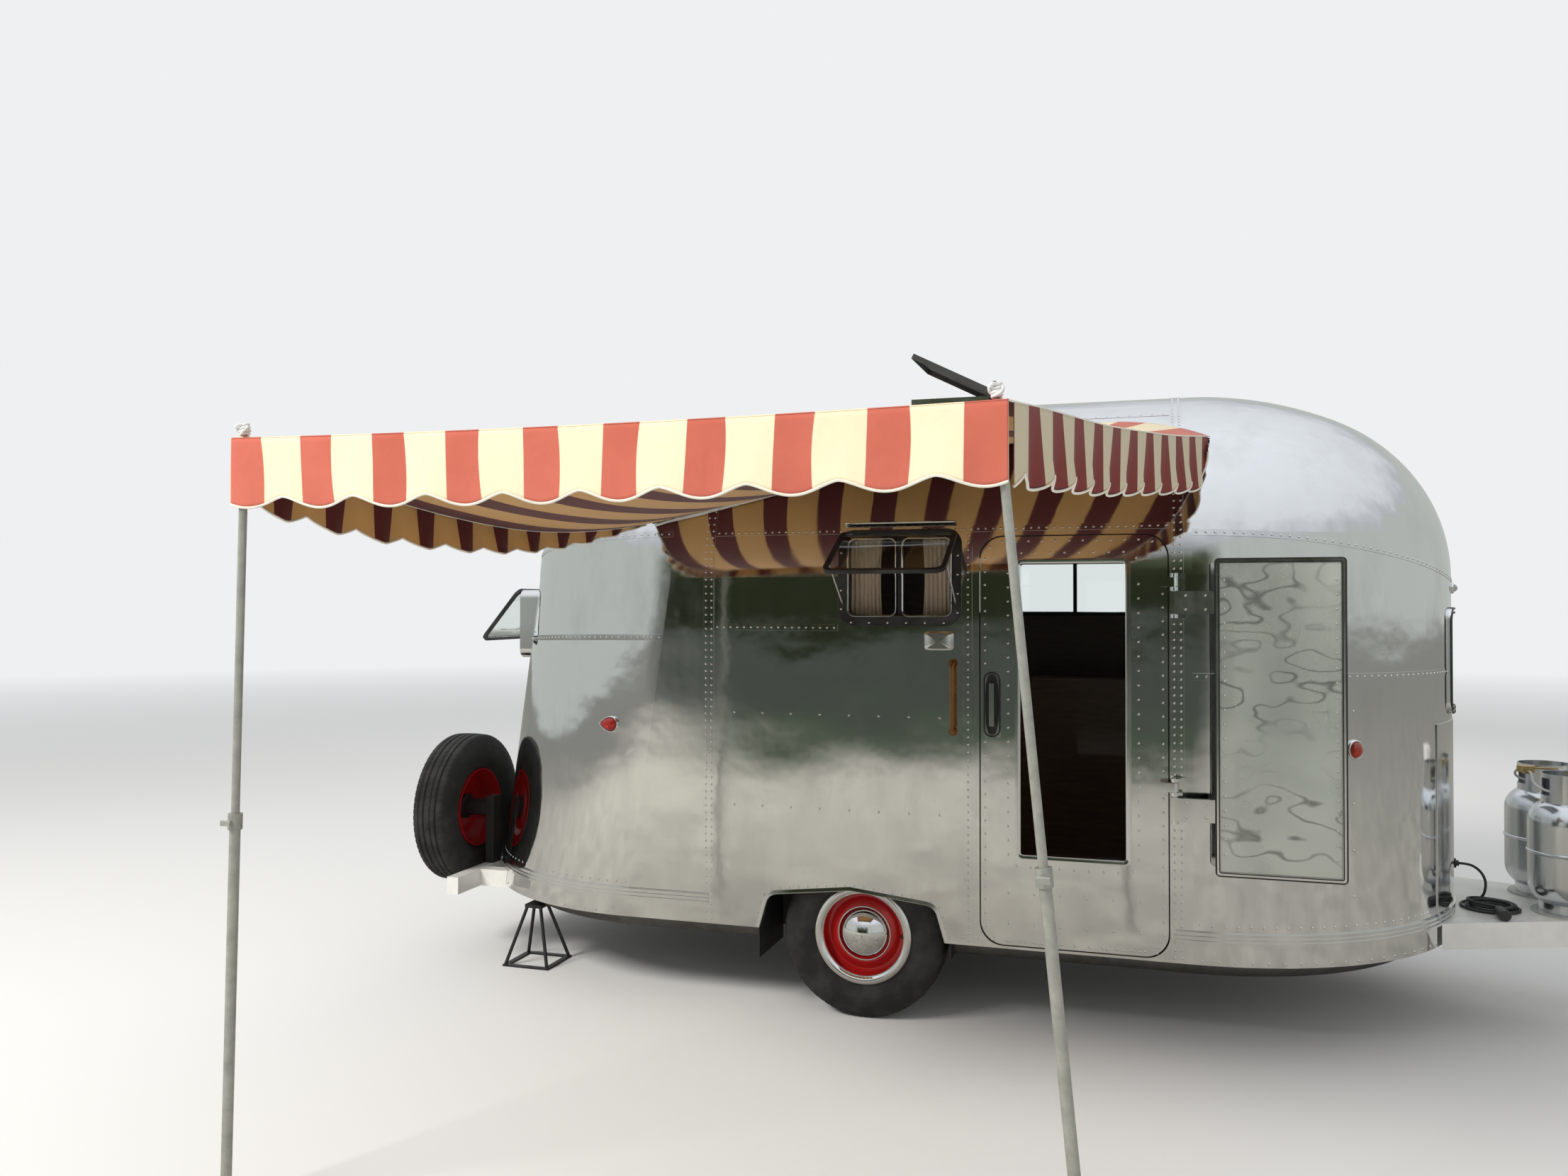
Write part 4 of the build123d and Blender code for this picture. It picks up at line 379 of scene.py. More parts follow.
# The frame's own pieces in each finish
nodeFinish = {
    "skin": "curb_side_wall street_side_wall roof_panel front_lower_shell front_dome rear_lower_shell "
            "rear_dome main_door",
    "trim": "rub_rails stone_guard door_hatch_frame door_hinges end_window_frames awning_rail roof_vent_base "
            "door_hatch_skin door_latch",
    # The belly pan wears the dark dull vent lid finish as painted shade under the body
    "ventLid": "roof_vent_lid belly_pan", "wood": "cabin_floor cabin_furniture",
    "blackSheet": "wheel_wells axle leaf_springs spare_carrier stabiliser_stands",
    "tyre": "tyre_curb tyre_street spare_tyre", "redWheel": "rim_curb rim_street spare_rim",
    "chrome": "wheel_trim_curb wheel_trim_street", "glass": "window_glass", "curtain": "curtains",
    "canvas": "awning_canopy awning_valances", "pole": "awning_poles",
    "white": "tongue_frame tongue_deck rear_bumper jack_head coupler", "jackSteel": "jack_tube jack_leg",
    "gasSteel": "gas_cylinders", "greySteel": "gas_rack", "valve": "gas_fittings", "hose": "gas_hoses",
    "cable": "cable_coil cable_lead cable_plug cable_gland", "redLens": "red_lamps",
    "clearLens": "marker_lamps", "brass": "grab_handle", "gasket": "side_window_frames window_sashes",
}
for finish, names in nodeFinish.items():
    for name in names.split():
        nodes[name].data.materials.clear()
        nodes[name].data.materials.append(mats[finish])
print("materials made")


# Quads between neighbouring grid points, wrapping where a direction is closed.
def gridFaces(rows, columns, closedRows=False, closedColumns=False):
    row = np.arange(rows if closedRows else rows - 1)
    column = np.arange(columns if closedColumns else columns - 1)
    down, across = np.meshgrid(row, column, indexing="ij")
    below, right = (down + 1) % rows, (across + 1) % columns
    quads = np.stack([down * columns + across, down * columns + right, below * columns + right,
                      below * columns + across], -1)
    return quads.reshape(-1, 4)


# Puts points and faces in a mesh at its place; faces is a list of arrays of equal-sided faces.
def meshPiece(name, points, faces, finish, body="trailer", slot=None, uv=None, sharp=None, weld=False):
    mesh = bpy.data.meshes.new(name)
    points = placed(np.asarray(points, float).reshape(-1, 3))
    corners = np.concatenate([part.ravel() for part in faces])
    sizes = np.concatenate([np.full(len(part), part.shape[1]) for part in faces])
    mesh.vertices.add(len(points))
    mesh.vertices.foreach_set("co", points.ravel())
    mesh.loops.add(len(corners))
    mesh.loops.foreach_set("vertex_index", corners)
    mesh.polygons.add(len(sizes))
    mesh.polygons.foreach_set("loop_start", np.concatenate([[0], np.cumsum(sizes)[:-1]]))
    mesh.polygons.foreach_set("use_smooth", np.full(len(sizes), True))
    if uv is not None:
        layer = mesh.uv_layers.new(name="UVMap")
        layer.data.foreach_set("uv", np.asarray(uv, float).reshape(-1, 2)[corners].ravel())
    mesh.update(calc_edges=True)
    mesh.validate()
    if weld:
        work = bmesh.new()
        work.from_mesh(mesh)
        bmesh.ops.remove_doubles(work, verts=work.verts, dist=1e-6)
        work.to_mesh(mesh)
        work.free()
    if sharp is not None:
        mesh.set_sharp_from_angle(angle=math.radians(sharp))
    piece = bpy.data.objects.new(name, mesh)
    scene.collection.objects.link(piece)
    mesh.materials.append(mats[finish])
    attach(piece, body)
    return piece


# Several (points, faces) sets as one piece.
def joinedPiece(name, parts, finish, body="trailer", **looks):
    points, faces, start = [], [], 0
    for some, sets in parts:
        points.append(np.asarray(some).reshape(-1, 3))
        faces += [part + start for part in sets]
        start += len(points[-1])
    return meshPiece(name, np.concatenate(points), faces, finish, body, **looks)


# Vectors divided by their length.
def unit(vectors):
    return vectors / (np.linalg.norm(vectors, axis=-1, keepdims=True) + 1e-12)


# Even angles once round.
def fullTurn(count):
    return np.linspace(0, 2 * np.pi, count, endpoint=False)


# Even numbers from low to high.
def line(low, high, count=60):
    return np.linspace(low, high, count)


# The profile in the order that turns its faces outwards, told by the sign of its area.
def clockwise(profile):
    ahead = np.roll(profile, -1, 0)
    area = np.sum(profile[:, 0] * ahead[:, 1] - ahead[:, 0] * profile[:, 1])
    return profile[::-1] if area > 0 else profile


# Turns all faces round if the volume they close counts as negative.
def outward(points, faces):
    volume = 0.0
    for part in faces:
        corner = points[part]
        for k in range(1, part.shape[1] - 1):
            volume += np.einsum("ij,ij->", corner[:, 0], np.cross(corner[:, k], corner[:, k + 1]))
    return [part[:, ::-1] for part in faces] if volume < 0 else faces


# A closed profile carried along a path: each point is the path plus its first number along the side
# direction and its second along the normal; an open path gets a flat face at each end.
def closedSweep(path, normals, profile, loop=False):
    path = np.asarray(path, float)
    normals = np.broadcast_to(np.asarray(normals, float), path.shape)
    profile = clockwise(np.asarray(profile, float))
    along = unit(np.roll(path, -1, 0) - np.roll(path, 1, 0) if loop else np.gradient(path, axis=0))
    side = unit(np.cross(along, normals))
    normals = np.cross(side, along)
    points = path[:, None] + profile[None, :, :1] * side[:, None] + profile[None, :, 1:] * normals[:, None]
    rows, columns = points.shape[:2]
    faces = [gridFaces(rows, columns, loop, True)]
    if not loop:
        faces += [np.arange(columns)[None, ::-1], (np.arange(columns) + (rows - 1) * columns)[None]]
    return points.reshape(-1, 3), faces


# Points evenly round a circle.
def circleProfile(radius, count=12):
    turn = fullTurn(count)
    return np.stack([radius * np.cos(turn), radius * np.sin(turn)], -1)


# Rectangle with its base on the path's normal side; soft takes its upper corners off.
def boxProfile(width, height, base=0.0, soft=0.0):
    half, top = width / 2, base + height
    return np.array([(-half, base), (half, base), (half, top - soft), (half - soft, top),
                     (-half + soft, top), (-half, top - soft)])


# A round bar along a fairly level path.
def rod(points, radius, count=10):
    return closedSweep(points, (0, 0, 1.0), circleProfile(radius, count))


# Rounded rectangle as a closed loop of flat points.
def roundedLoop(width, height, corner, steps=8):
    turn = np.linspace(0, np.pi / 2, steps)
    out = []
    for quarter, (x, y) in enumerate(((1, 1), (-1, 1), (-1, -1), (1, -1))):
        angle = turn + quarter * np.pi / 2
        out.append(np.stack([x * (width / 2 - corner) + corner * np.cos(angle),
                             y * (height / 2 - corner) + corner * np.sin(angle)], -1))
    return np.concatenate(out)


# The long sides of a flat loop cut into short ones, so that it can follow a curve.
def denser(loop, count=24, longSide=0.1):
    ahead = np.roll(loop, -1, 0)
    runs = np.linalg.norm(ahead - loop, axis=1)
    return np.concatenate([np.linspace(here, there, count if run > longSide else 2, endpoint=False)
                           for here, there, run in zip(loop, ahead, runs)])


# A flat loop stood upright: its first number runs along the level direction, its second up.
def stood(loop, centre, level=(1.0, 0, 0)):
    return np.asarray(centre) + loop[:, :1] * np.asarray(level) + loop[:, 1:] * np.array([0, 0, 1.0])


# Directions square to an axis, one for each angle round it.
def ringAbout(axis, turn):
    up = np.array([0.0, 0.0, 1.0]) if abs(axis[2]) < 0.9 else np.array([1.0, 0.0, 0.0])
    return np.cos(turn)[:, None] * up + np.sin(turn)[:, None] * np.cross(axis, up)


# A profile of (radius, distance along the axis) turned about the axis.
def turned(profile, centre, axis, steps=64, closed=False):
    profile, axis = clockwise(np.asarray(profile, float)), np.asarray(axis, float)
    ring = ringAbout(axis, fullTurn(steps))
    points = np.asarray(centre) + profile[None, :, :1] * ring[:, None] + profile[None, :, 1:] * axis
    return points.reshape(-1, 3), [gridFaces(steps, len(profile), True, closed)]


# The body's section is upright, then the shoulder's arc, then the crown's. Height is told as climb, the
# distance up the section from the spring line
shoulderY = bodySet["halfWidth"] - bodySet["shoulder"]
rise = bodySet["roof"] - bodySet["spring"]
crownRadius = (shoulderY**2 + rise**2 - bodySet["shoulder"]**2) / (2 * (rise - bodySet["shoulder"]))
crownZ = bodySet["roof"] - crownRadius
meetAngle = math.atan2(bodySet["spring"] - crownZ, shoulderY)
shoulderRun = bodySet["shoulder"] * meetAngle
wholeRun = shoulderRun + crownRadius * (math.pi / 2 - meetAngle)


# Below the spring line plain height from it, above it the length of the shoulder's arc up to the height.
def climbOf(z):
    z, spring, bend = np.asarray(z, float), bodySet["spring"], bodySet["shoulder"]
    arc = bend * np.arcsin(np.clip(z - spring, 0, bend) / bend)
    return np.where(z < spring, z - spring, arc)


# Even climbs between two heights.
def climbLine(low, high, count=60):
    return line(float(climbOf(low)), float(climbOf(high)), count)


# Radius, height and tilt of the section at a climb.
def section(climb, out):
    spring, bend = bodySet["spring"], bodySet["shoulder"]
    upright, onCrown = climb <= 0, climb >= shoulderRun
    onArc = np.where(onCrown, meetAngle + (climb - shoulderRun) / crownRadius, climb / bend)
    tilt = np.where(upright, 0, onArc)
    reach = np.where(onCrown, crownRadius, bend) + out
    middleY, middleZ = np.where(onCrown, 0, shoulderY), np.where(onCrown, crownZ, spring)
    radius = np.where(upright, bodySet["halfWidth"] + out, middleY + reach * np.cos(tilt))
    return radius, np.where(upright, spring + climb, middleZ + reach * np.sin(tilt)), tilt


# X of the rounded rear end's axis, which leans forward from the base to the spring line.
def rearCentre(height):
    low, high, base = bodySet["rearLow"], bodySet["rearHigh"], bodySet["base"]
    share = (np.clip(height, base, bodySet["spring"]) - base) / (bodySet["spring"] - base)
    return low + (high - low) * share


# Points and normals on the skin: part is curb, street, front or rear; along is X, or the angle round an end.
def onSkin(part, along, climb, out=0.0):
    along, climb = np.broadcast_arrays(np.asarray(along, float), np.asarray(climb, float))
    radius, height, tilt = section(climb, out)
    if part in ("curb", "street"):
        side = -1 if part == "curb" else 1
        points = np.stack([along, side * radius, height], -1)
        return points, np.stack([np.zeros_like(tilt), side * np.cos(tilt), np.sin(tilt)], -1)
    way, centre = (1, bodySet["front"]) if part == "front" else (-1, rearCentre(height))
    points = np.stack([centre + way * radius * np.cos(along), radius * np.sin(along), height], -1)
    level = np.cos(tilt)
    return points, np.stack([way * np.cos(along) * level, np.sin(along) * level, np.sin(tilt)], -1)


# A rounded rectangle laid on a long side's skin, with its normals; box is rear, front, low and high, and
# grow widens it all round.
def skinLoop(box, corner, grow=0.0, out=0.0, part="curb"):
    x0, x1, z0, z1 = box
    flat = denser(roundedLoop(x1 - x0 + 2 * grow, z1 - z0 + 2 * grow, corner + grow, 10))
    if part == "street":
        flat = flat[::-1]
    return onSkin(part, flat[:, 0] + (x0 + x1) / 2, climbOf(flat[:, 1] + (z0 + z1) / 2), out)


# Values at row numbers with fractions.
def between(values, spots):
    rows = np.arange(len(values))
    return np.stack([np.interp(spots, rows, values[:, k]) for k in range(values.shape[1])], -1)


rivetSet = {"radius": 0.0052, "height": 0.0026, "pitch": 0.030, "sides": 8, "sink": 0.0008}
rivets = {}


# Rivets a pitch apart along a row of (points, normals), half a pitch in from its ends.
def rivetLine(body, row, pitch=rivetSet["pitch"]):
    points = row[0]
    normals = np.broadcast_to(np.asarray(row[1], float), points.shape)
    steps = np.concatenate([[0], np.cumsum(np.linalg.norm(np.diff(points, axis=0), axis=1))])
    count = max(1, int(round(steps[-1] / pitch)))
    spots = np.interp((np.arange(count) + 0.5) / count * steps[-1], steps, np.arange(len(points)))
    rivets.setdefault(body, []).append((between(points, spots), between(normals, spots)))


# Each head is a dome of two rings and a top, its rim sunk a little in the sheet.
def rivetHeads(body, rows):
    spots = np.concatenate([points for points, _ in rows])
    normals = unit(np.concatenate([normals for _, normals in rows]))
    helper = np.where(np.abs(normals[:, 2:]) < 0.8, [[0.0, 0.0, 1.0]], [[1.0, 0.0, 0.0]])
    right = unit(np.cross(helper, normals))
    up = np.cross(normals, right)
    sides, radius, height = rivetSet["sides"], rivetSet["radius"], rivetSet["height"]
    rings = ((1.0, -rivetSet["sink"]), (0.88, height * 0.55), (0.5, height * 0.92))
    shape = [(r * radius * np.cos(a), r * radius * np.sin(a), h) for r, h in rings for a in fullTurn(sides)]
    shape = np.array(shape + [(0.0, 0.0, height)])
    points = (spots[:, None] + shape[None, :, :1] * right[:, None] + shape[None, :, 1:2] * up[:, None]
              + shape[None, :, 2:] * normals[:, None])
    near = np.arange(sides)
    after = (near + 1) % sides
    quads = np.concatenate([np.stack([near + k, after + k, after + k + sides, near + k + sides], -1)
                            for k in (0, sides)])
    tips = np.stack([near + 2 * sides, after + 2 * sides, np.full(sides, len(shape) - 1)], -1)
    starts = (np.arange(len(spots)) * len(shape))[:, None, None]
    faces = [(part[None] + starts).reshape(-1, part.shape[1]) for part in (quads, tips)]
    return meshPiece("rivets_" + body, points, faces, "rivet", body)


# Trailer cable: gland, lead, loose coil on the deck and plug, one smooth line through its points
cableSet = {"radius": 0.0055, "length": 3.35, "centre": (2.496, -0.19, 0.449), "turns": (115.0, 2053.0, 29.8)}
leadPoints = [(2.39386, -0.094, 0.61174), (2.42775, -0.094, 0.61174), (2.45906, -0.094, 0.59877),
              (2.48303, -0.094, 0.5748), (2.496, -0.094, 0.54349), (2.496, -0.094, 0.515)]
coilTable = (
    # angle in degrees, radius, height over the deck
    (115, 0.1205, 0.0065), (450, 0.0985, 0.0065), (835, 0.0865, 0.0065), (1195, 0.0745, 0.0070),
    (1285, 0.0735, 0.0195), (1645, 0.0850, 0.0195), (1880, 0.0930, 0.0205), (1930, 0.0925, 0.0270),
    (1975, 0.0905, 0.0320), (2052, 0.0860, 0.0320),
)
intoCoil = [(-0.0065, 0.0985, 0.034), (-0.023, 0.107, 0.0135)]
intoPlug = [(-0.008, -0.0965, 0.0310), (0.0005, -0.1130, 0.0262), (0.0005, -0.1304, 0.0223)]
degrees = np.arange(*cableSet["turns"])
coilRadius, coilHeight = (np.interp(degrees, *np.array(coilTable)[:, [0, k]].T) for k in (1, 2))
coilTurn = np.radians(degrees)
coilPoints = np.stack([coilRadius * np.cos(coilTurn), coilRadius * np.sin(coilTurn), coilHeight], -1)
deckPoints = np.concatenate([intoCoil, coilPoints, intoPlug]) + np.array(cableSet["centre"])


# A smooth curve with the route's points as its control points.
def cordPiece(name, points, radius, finish):
    curve = bpy.data.curves.new(name, "CURVE")
    curve.dimensions = "3D"
    curve.bevel_depth = radius
    curve.bevel_resolution = 4
    curve.resolution_u = 6
    spline = curve.splines.new("NURBS")
    where = placed(points)
    spline.points.add(len(where) - 1)
    for point, spot in zip(spline.points, where):
        point.co = (*spot, 1.0)
    spline.order_u = 3
    spline.use_endpoint_u = True
    curve.use_fill_caps = True
    curve.materials.append(mats[finish])
    piece = bpy.data.objects.new(name, curve)
    scene.collection.objects.link(piece)
    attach(piece, "trailer")
    return piece


cable = cordPiece("trailerCable", np.concatenate([leadPoints, deckPoints]), cableSet["radius"], "cable")
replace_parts(cable, "cable_lead", "cable_coil")

hoseSet = {"radius": 0.005, "length": 0.210}
for side, name in ((-1, "gasHoseCurb"), (1, "gasHoseStreet")):
    route = [(2.7517, side * 0.175, 0.941), (2.7177, side * 0.175, 0.941), (2.6857, side * 0.167, 0.953),
             (2.660, side * 0.139, 0.977), (2.672, side * 0.091, 1.008), (2.672, side * 0.0463, 1.008)]
    hose = cordPiece(name, route, hoseSet["radius"], "hose")
    if side == -1:
        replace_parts(hose, "gas_hoses")
print("cords laid")

# Seams: flat strips of doubled sheet with their rivets. A side is its post's X and where its low strip ends;
# an end seam is its height in the middle, its rise towards the sides and the power of that rise
seamSet = {"thick": 0.0011, "soft": 0.0004, "wide": 0.046, "rows": (-0.0125, 0.0125), "post": 0.034,
           "strip": 0.026, "foot": 0.364, "high": 2.02, "low": 1.62, "level": (-0.630, 1.222),
           "sides": (("curb", 0.452, -0.085), ("street", 0.30, 1.222)), "sidePitch": 0.045,
           "ends": (("front", 1.444, 0.0, 1.0), ("front", 1.80, 0.19, 1.6), ("rear", 1.515, 0.058, 1.0),
                    ("rear", 1.90, 0.12, 1.0)), "endPitch": 0.034,
           "rings": (bodySet["seamRear"], bodySet["seamFront"] + 0.011), "rearPost": (0.5, 1.42, 0.03)}
laps = []


# A strip along a seam with its rows of rivets; rows are distances from the strip's middle.
def seam(part, along, climb, width=seamSet["strip"], rows=(0.0,), pitch=rivetSet["pitch"]):
    path, normals = onSkin(part, along, climb)
    laps.append(closedSweep(path, normals, boxProfile(width, seamSet["thick"], 0.0, seamSet["soft"])))
    side = np.cross(unit(np.gradient(path, axis=0)), normals)
    for offset in rows:
        rivetLine("trailer", (path + side * offset + normals * seamSet["thick"], normals), pitch)


upright = line(float(climbOf(bodySet["base"] + 0.004)), wholeRun, 150)
for x in seamSet["rings"]:
    for part in ("curb", "street"):
        seam(part, x, upright, seamSet["wide"], seamSet["rows"])
stripHigh = float(climbOf(seamSet["high"]))
for part, postX, lowEnd in seamSet["sides"]:
    seam(part, postX, line(float(climbOf(seamSet["foot"])), stripHigh - 0.012), seamSet["post"])
    seam(part, line(*seamSet["level"]), stripHigh)
    seam(part, line(seamSet["level"][0], lowEnd), climbOf(seamSet["low"]))
    seam(part, line(*seamSet["level"]), shoulderRun, pitch=seamSet["sidePitch"])
ends = line(-np.pi / 2, np.pi / 2, 121)
for part, z, growth, power in seamSet["ends"]:
    seam(part, ends, climbOf(z + growth * np.abs(np.sin(ends))**power), pitch=seamSet["endPitch"])
low, high, width = seamSet["rearPost"]
seam("rear", 0.0, climbLine(low, high, 40), width)
joinedPiece("seamLaps", laps, "skin", sharp=30)

# Rows without a strip: over the rails round the ends, up the front, and where the inner frames stand. Rail
# and foot are height and pitch, starts the angles at which the rail rows begin, posts the angle, foot, head
# and pitch, and frames height, rear, front and pitch
rowSet = {"rail": (0.508, 0.045), "starts": (("front", 0.585), ("rear", 0.0)), "foot": (0.375, 0.06),
          "posts": ((-1.0, 0.53, 1.40, 0.17), (1.0, 0.53, 1.40, 0.17)),
          "frames": ((1.26, -0.60, 0.40, 0.125), (0.87, -0.60, 0.40, 0.125), (0.62, 0.40, 0.48, 0.125),
                     (0.39, 0.40, 1.20, 0.06), (0.39, -0.63, -0.45, 0.06))}
for part, start in rowSet["starts"]:
    z, pitch = rowSet["rail"]
    for way in (-1, 1):
        rivetLine("trailer", onSkin(part, line(way * start, way * np.pi / 2), climbOf(z)), pitch)
    z, pitch = rowSet["foot"]
    rivetLine("trailer", onSkin(part, ends, climbOf(z)), pitch)
for angle, low, high, pitch in rowSet["posts"]:
    rivetLine("trailer", onSkin("front", angle, climbLine(low, high, 30)), pitch)
for part in ("curb", "street"):
    for z, low, high, pitch in rowSet["frames"]:
        rivetLine("trailer", onSkin(part, line(low, high, 20), climbOf(z)), pitch)

# Wheel arches: a rolled bright edge with its rivets
archSet = {"rear": -0.43, "front": 0.36, "top": 0.545, "low": 0.505, "slope": 0.042, "base": 0.362,
           "corner": 0.06, "rivetOut": 0.020, "pitch": 0.040,
           "profile": ((-0.004, -0.03), (0.002, -0.03), (0.002, -0.001), (0.012, 0.0002), (0.012, 0.0022),
                       (-0.001, 0.004), (-0.004, 0.002))}


# Straight runs through the corners, each corner turned by an arc of the radius.
def roundedLine(corners, radius, steps=8):
    corners = np.asarray(corners, float)
    out = [corners[0]]
    for before, here, after in zip(corners, corners[1:], corners[2:]):
        inWay, outWay = unit(here - before), unit(after - here)
        back = radius * math.tan(math.acos(float(np.clip(inWay @ outWay, -1, 1))) / 2)
        start, end = here - inWay * back, here + outWay * back
        for t in np.linspace(0, 1, steps):
            out.append((1 - t)**2 * start + 2 * t * (1 - t) * here + t**2 * end)
    out.append(corners[-1])
    return np.array(out)


archRear, archFront, slope = archSet["rear"], archSet["front"], archSet["slope"]
archLine = roundedLine([(archRear, archSet["base"]), (archRear + slope, archSet["low"]),
                        ((archRear + archFront) / 2, archSet["top"]), (archFront - slope, archSet["low"]),
                        (archFront, archSet["base"])], archSet["corner"])
archTrims = []
for side in (-1, 1):
    path = stood(archLine, (0, side * bodySet["halfWidth"], 0))
    archTrims.append(closedSweep(path, (0, side, 0), np.array(archSet["profile"]) * (side, 1)))
    away = np.cross(unit(np.gradient(path, axis=0)), (0.0, side, 0.0)) * side
    rivetLine("trailer", (path + away * archSet["rivetOut"], (0, side, 0)), archSet["pitch"])
joinedPiece("archEdges", archTrims, "trim", sharp=35)

# Door: rivets near its edges, a bright angle round the opening, and a dark seal in the jamb gap. Boxes are
# rear, front, low and high
doorSet = {"edges": (0.502, 1.212, 0.375, 1.985), "corner": 0.09, "inset": 0.018, "pitch": 0.052,
           "opening": (0.655, 1.06, 0.73, 1.88), "openCorner": 0.012,
           "openRivets": ((0.610, 1.105, 0.685, 1.920), 0.05), "openPitch": 0.055,
           "lowRows": (0.58, 0.46), "lowX": (0.56, 1.16), "lowPitch": 0.10,
           "angle": ((-0.018, 0.0002), (-0.018, 0.0019), (0.0015, 0.0025), (0.0030, 0.0016),
                     (0.0030, -0.040), (0.0002, -0.040), (0.0002, 0.0002)),
           "seal": 0.0011, "gap": 0.0025, "sealSunk": -0.006}
rivetLine("entrance_door", skinLoop(doorSet["edges"], doorSet["corner"], -doorSet["inset"]), doorSet["pitch"])
rivetLine("entrance_door", skinLoop(*doorSet["openRivets"]), doorSet["openPitch"])
for z in doorSet["lowRows"]:
    rivetLine("entrance_door", onSkin("curb", line(*doorSet["lowX"], 10), climbOf(z)), doorSet["lowPitch"])
trimLoop = skinLoop(doorSet["opening"], doorSet["openCorner"])
meshPiece("doorOpeningTrim", *closedSweep(*trimLoop, np.array(doorSet["angle"]) * (-1, 1), True), "trim",
          "entrance_door", sharp=35)
sealLoop = skinLoop(doorSet["edges"], doorSet["corner"], doorSet["gap"], doorSet["sealSunk"])
meshPiece("doorSeal", *closedSweep(*sealLoop, circleProfile(doorSet["seal"], 8), True), "gasket")

# Windows: black gaskets round the frames and bright beads round the panes. Side windows are rear, front, low
# and high; end windows are width, height and corner; sections are width, height, base and softened corner
windowSet = {"sides": (("curb", (-0.060, 0.405, 1.650, 2.000)), ("street", (0.350, 1.100, 1.650, 2.000))),
             "corner": 0.040, "gasket": 0.018, "gasketOut": 0.001, "rivets": 0.008, "rivetsOut": 0.012,
             "pitch": 0.075, "sideSection": (0.007, 0.007, 0.0, 0.0025), "beadOut": 0.0122,
             "rearSection": (0.012, 0.005, 0.0, 0.002), "frontSection": (0.009, 0.005, -0.002, 0.002),
             "panes": (("curb", -0.0405, 0.1595), ("curb", 0.1855, 0.3855), ("street", 0.3705, 1.0795)),
             "paneZ": (1.6695, 1.9805), "paneCorner": 0.028, "bead": (0.0065, 0.010, -0.006, 0.0015),
             "rear": (0.664, 0.314, 0.036), "rearX": -1.975, "rearZ": 1.615,
             "front": (0.72, 0.39, 0.035), "frontRadius": 1.082, "frontZ": 1.485, "frontGrow": (0.002, 0.019)}
gaskets, beads = [], []
for part, box in windowSet["sides"]:
    loop = skinLoop(box, windowSet["corner"], windowSet["gasket"], windowSet["gasketOut"], part)
    gaskets.append(closedSweep(*loop, boxProfile(*windowSet["sideSection"]), True))
    loop = skinLoop(box, windowSet["corner"], windowSet["rivets"], windowSet["rivetsOut"], part)
    rivetLine("trailer", loop, windowSet["pitch"])
loop = stood(roundedLoop(*windowSet["rear"]), (windowSet["rearX"], 0, windowSet["rearZ"]), (0, -1.0, 0))
gaskets.append(closedSweep(loop, (-1.0, 0, 0), boxProfile(*windowSet["rearSection"]), True))
width, height, corner = windowSet["front"]
for grow in windowSet["frontGrow"]:
    loop = denser(roundedLoop(width + 2 * grow, height + 2 * grow, corner + grow))
    turn = np.arcsin(loop[:, 0] / windowSet["frontRadius"])
    away = np.stack([np.cos(turn), np.sin(turn), np.zeros(len(loop))], -1)
    path = away * windowSet["frontRadius"] + (bodySet["front"], 0, windowSet["frontZ"])
    path[:, 2] += loop[:, 1]
    gaskets.append(closedSweep(path, away, boxProfile(*windowSet["frontSection"]), True))
joinedPiece("windowGaskets", gaskets, "gasket", sharp=35)
for part, x0, x1 in windowSet["panes"]:
    pane = (x0, x1, *windowSet["paneZ"])
    loop = skinLoop(pane, windowSet["paneCorner"], 0.0, windowSet["beadOut"], part)
    beads.append(closedSweep(*loop, boxProfile(*windowSet["bead"]), True))
joinedPiece("windowBeads", beads, "trim", sharp=35)

# Drip rail over the entrance side's window, and the stays that hold the sashes open; stay points are Y and Z
# at the side, X and Z at the rear
staySet = {"radius": 0.0035, "sideX": (-0.060, 0.405), "rearY": (("Curb", -0.26), ("Street", 0.26)),
           "side": ((-1.086, 1.72), (-1.196, 1.80), (-1.302, 1.8795)),
           "rear": ((-1.968, 1.60), (-2.05, 1.585), (-2.142, 1.583)),
           "dripX": (-0.055, 0.40), "dripZ": 2.043,
           "drip": ((-0.010, 0), (0.010, 0), (0.010, 0.004), (0.004, 0.018), (-0.002, 0.022), (-0.006, 0.020),
                    (0.001, 0.012), (-0.004, 0.004))}
dripLine = onSkin("curb", line(*staySet["dripX"], 30), climbOf(staySet["dripZ"]))
parts = [closedSweep(*dripLine, staySet["drip"])]
for x in staySet["sideX"]:
    parts.append(rod([(x, y, z) for y, z in staySet["side"]], staySet["radius"]))
joinedPiece("dripRailAndStays", parts, "trim", sharp=40)
for name, y in staySet["rearY"]:
    meshPiece("rearStay" + name, *rod([(x, y, z) for x, z in staySet["rear"]], staySet["radius"]), "trim")


# Faces of a sheet's two sides, given as one grid with the back's columns after the front's, in reverse.
def shellFaces(rows, columns):
    near = np.arange(columns - 1)
    caps = np.stack([near, near + 1, 2 * columns - 2 - near, 2 * columns - 1 - near], -1)
    return [gridFaces(rows, 2 * columns, False, True), caps[:, ::-1], caps + (rows - 1) * 2 * columns]


# A grid of points given thickness along its own normals: one side, then the other, whose V is one more.
def clothShell(points, across, down, thick):
    slant = unit(np.cross(np.gradient(points, axis=1), np.gradient(points, axis=0))) * thick / 2
    shell = np.concatenate([points + slant, (points - slant)[:, ::-1]], 1).reshape(-1, 3)
    uv = np.concatenate([np.stack([across, down], -1), np.stack([across, 1.0 + down], -1)[:, ::-1]], 1)
    return shell, outward(shell, shellFaces(*points.shape[:2])), uv.reshape(-1, 2)


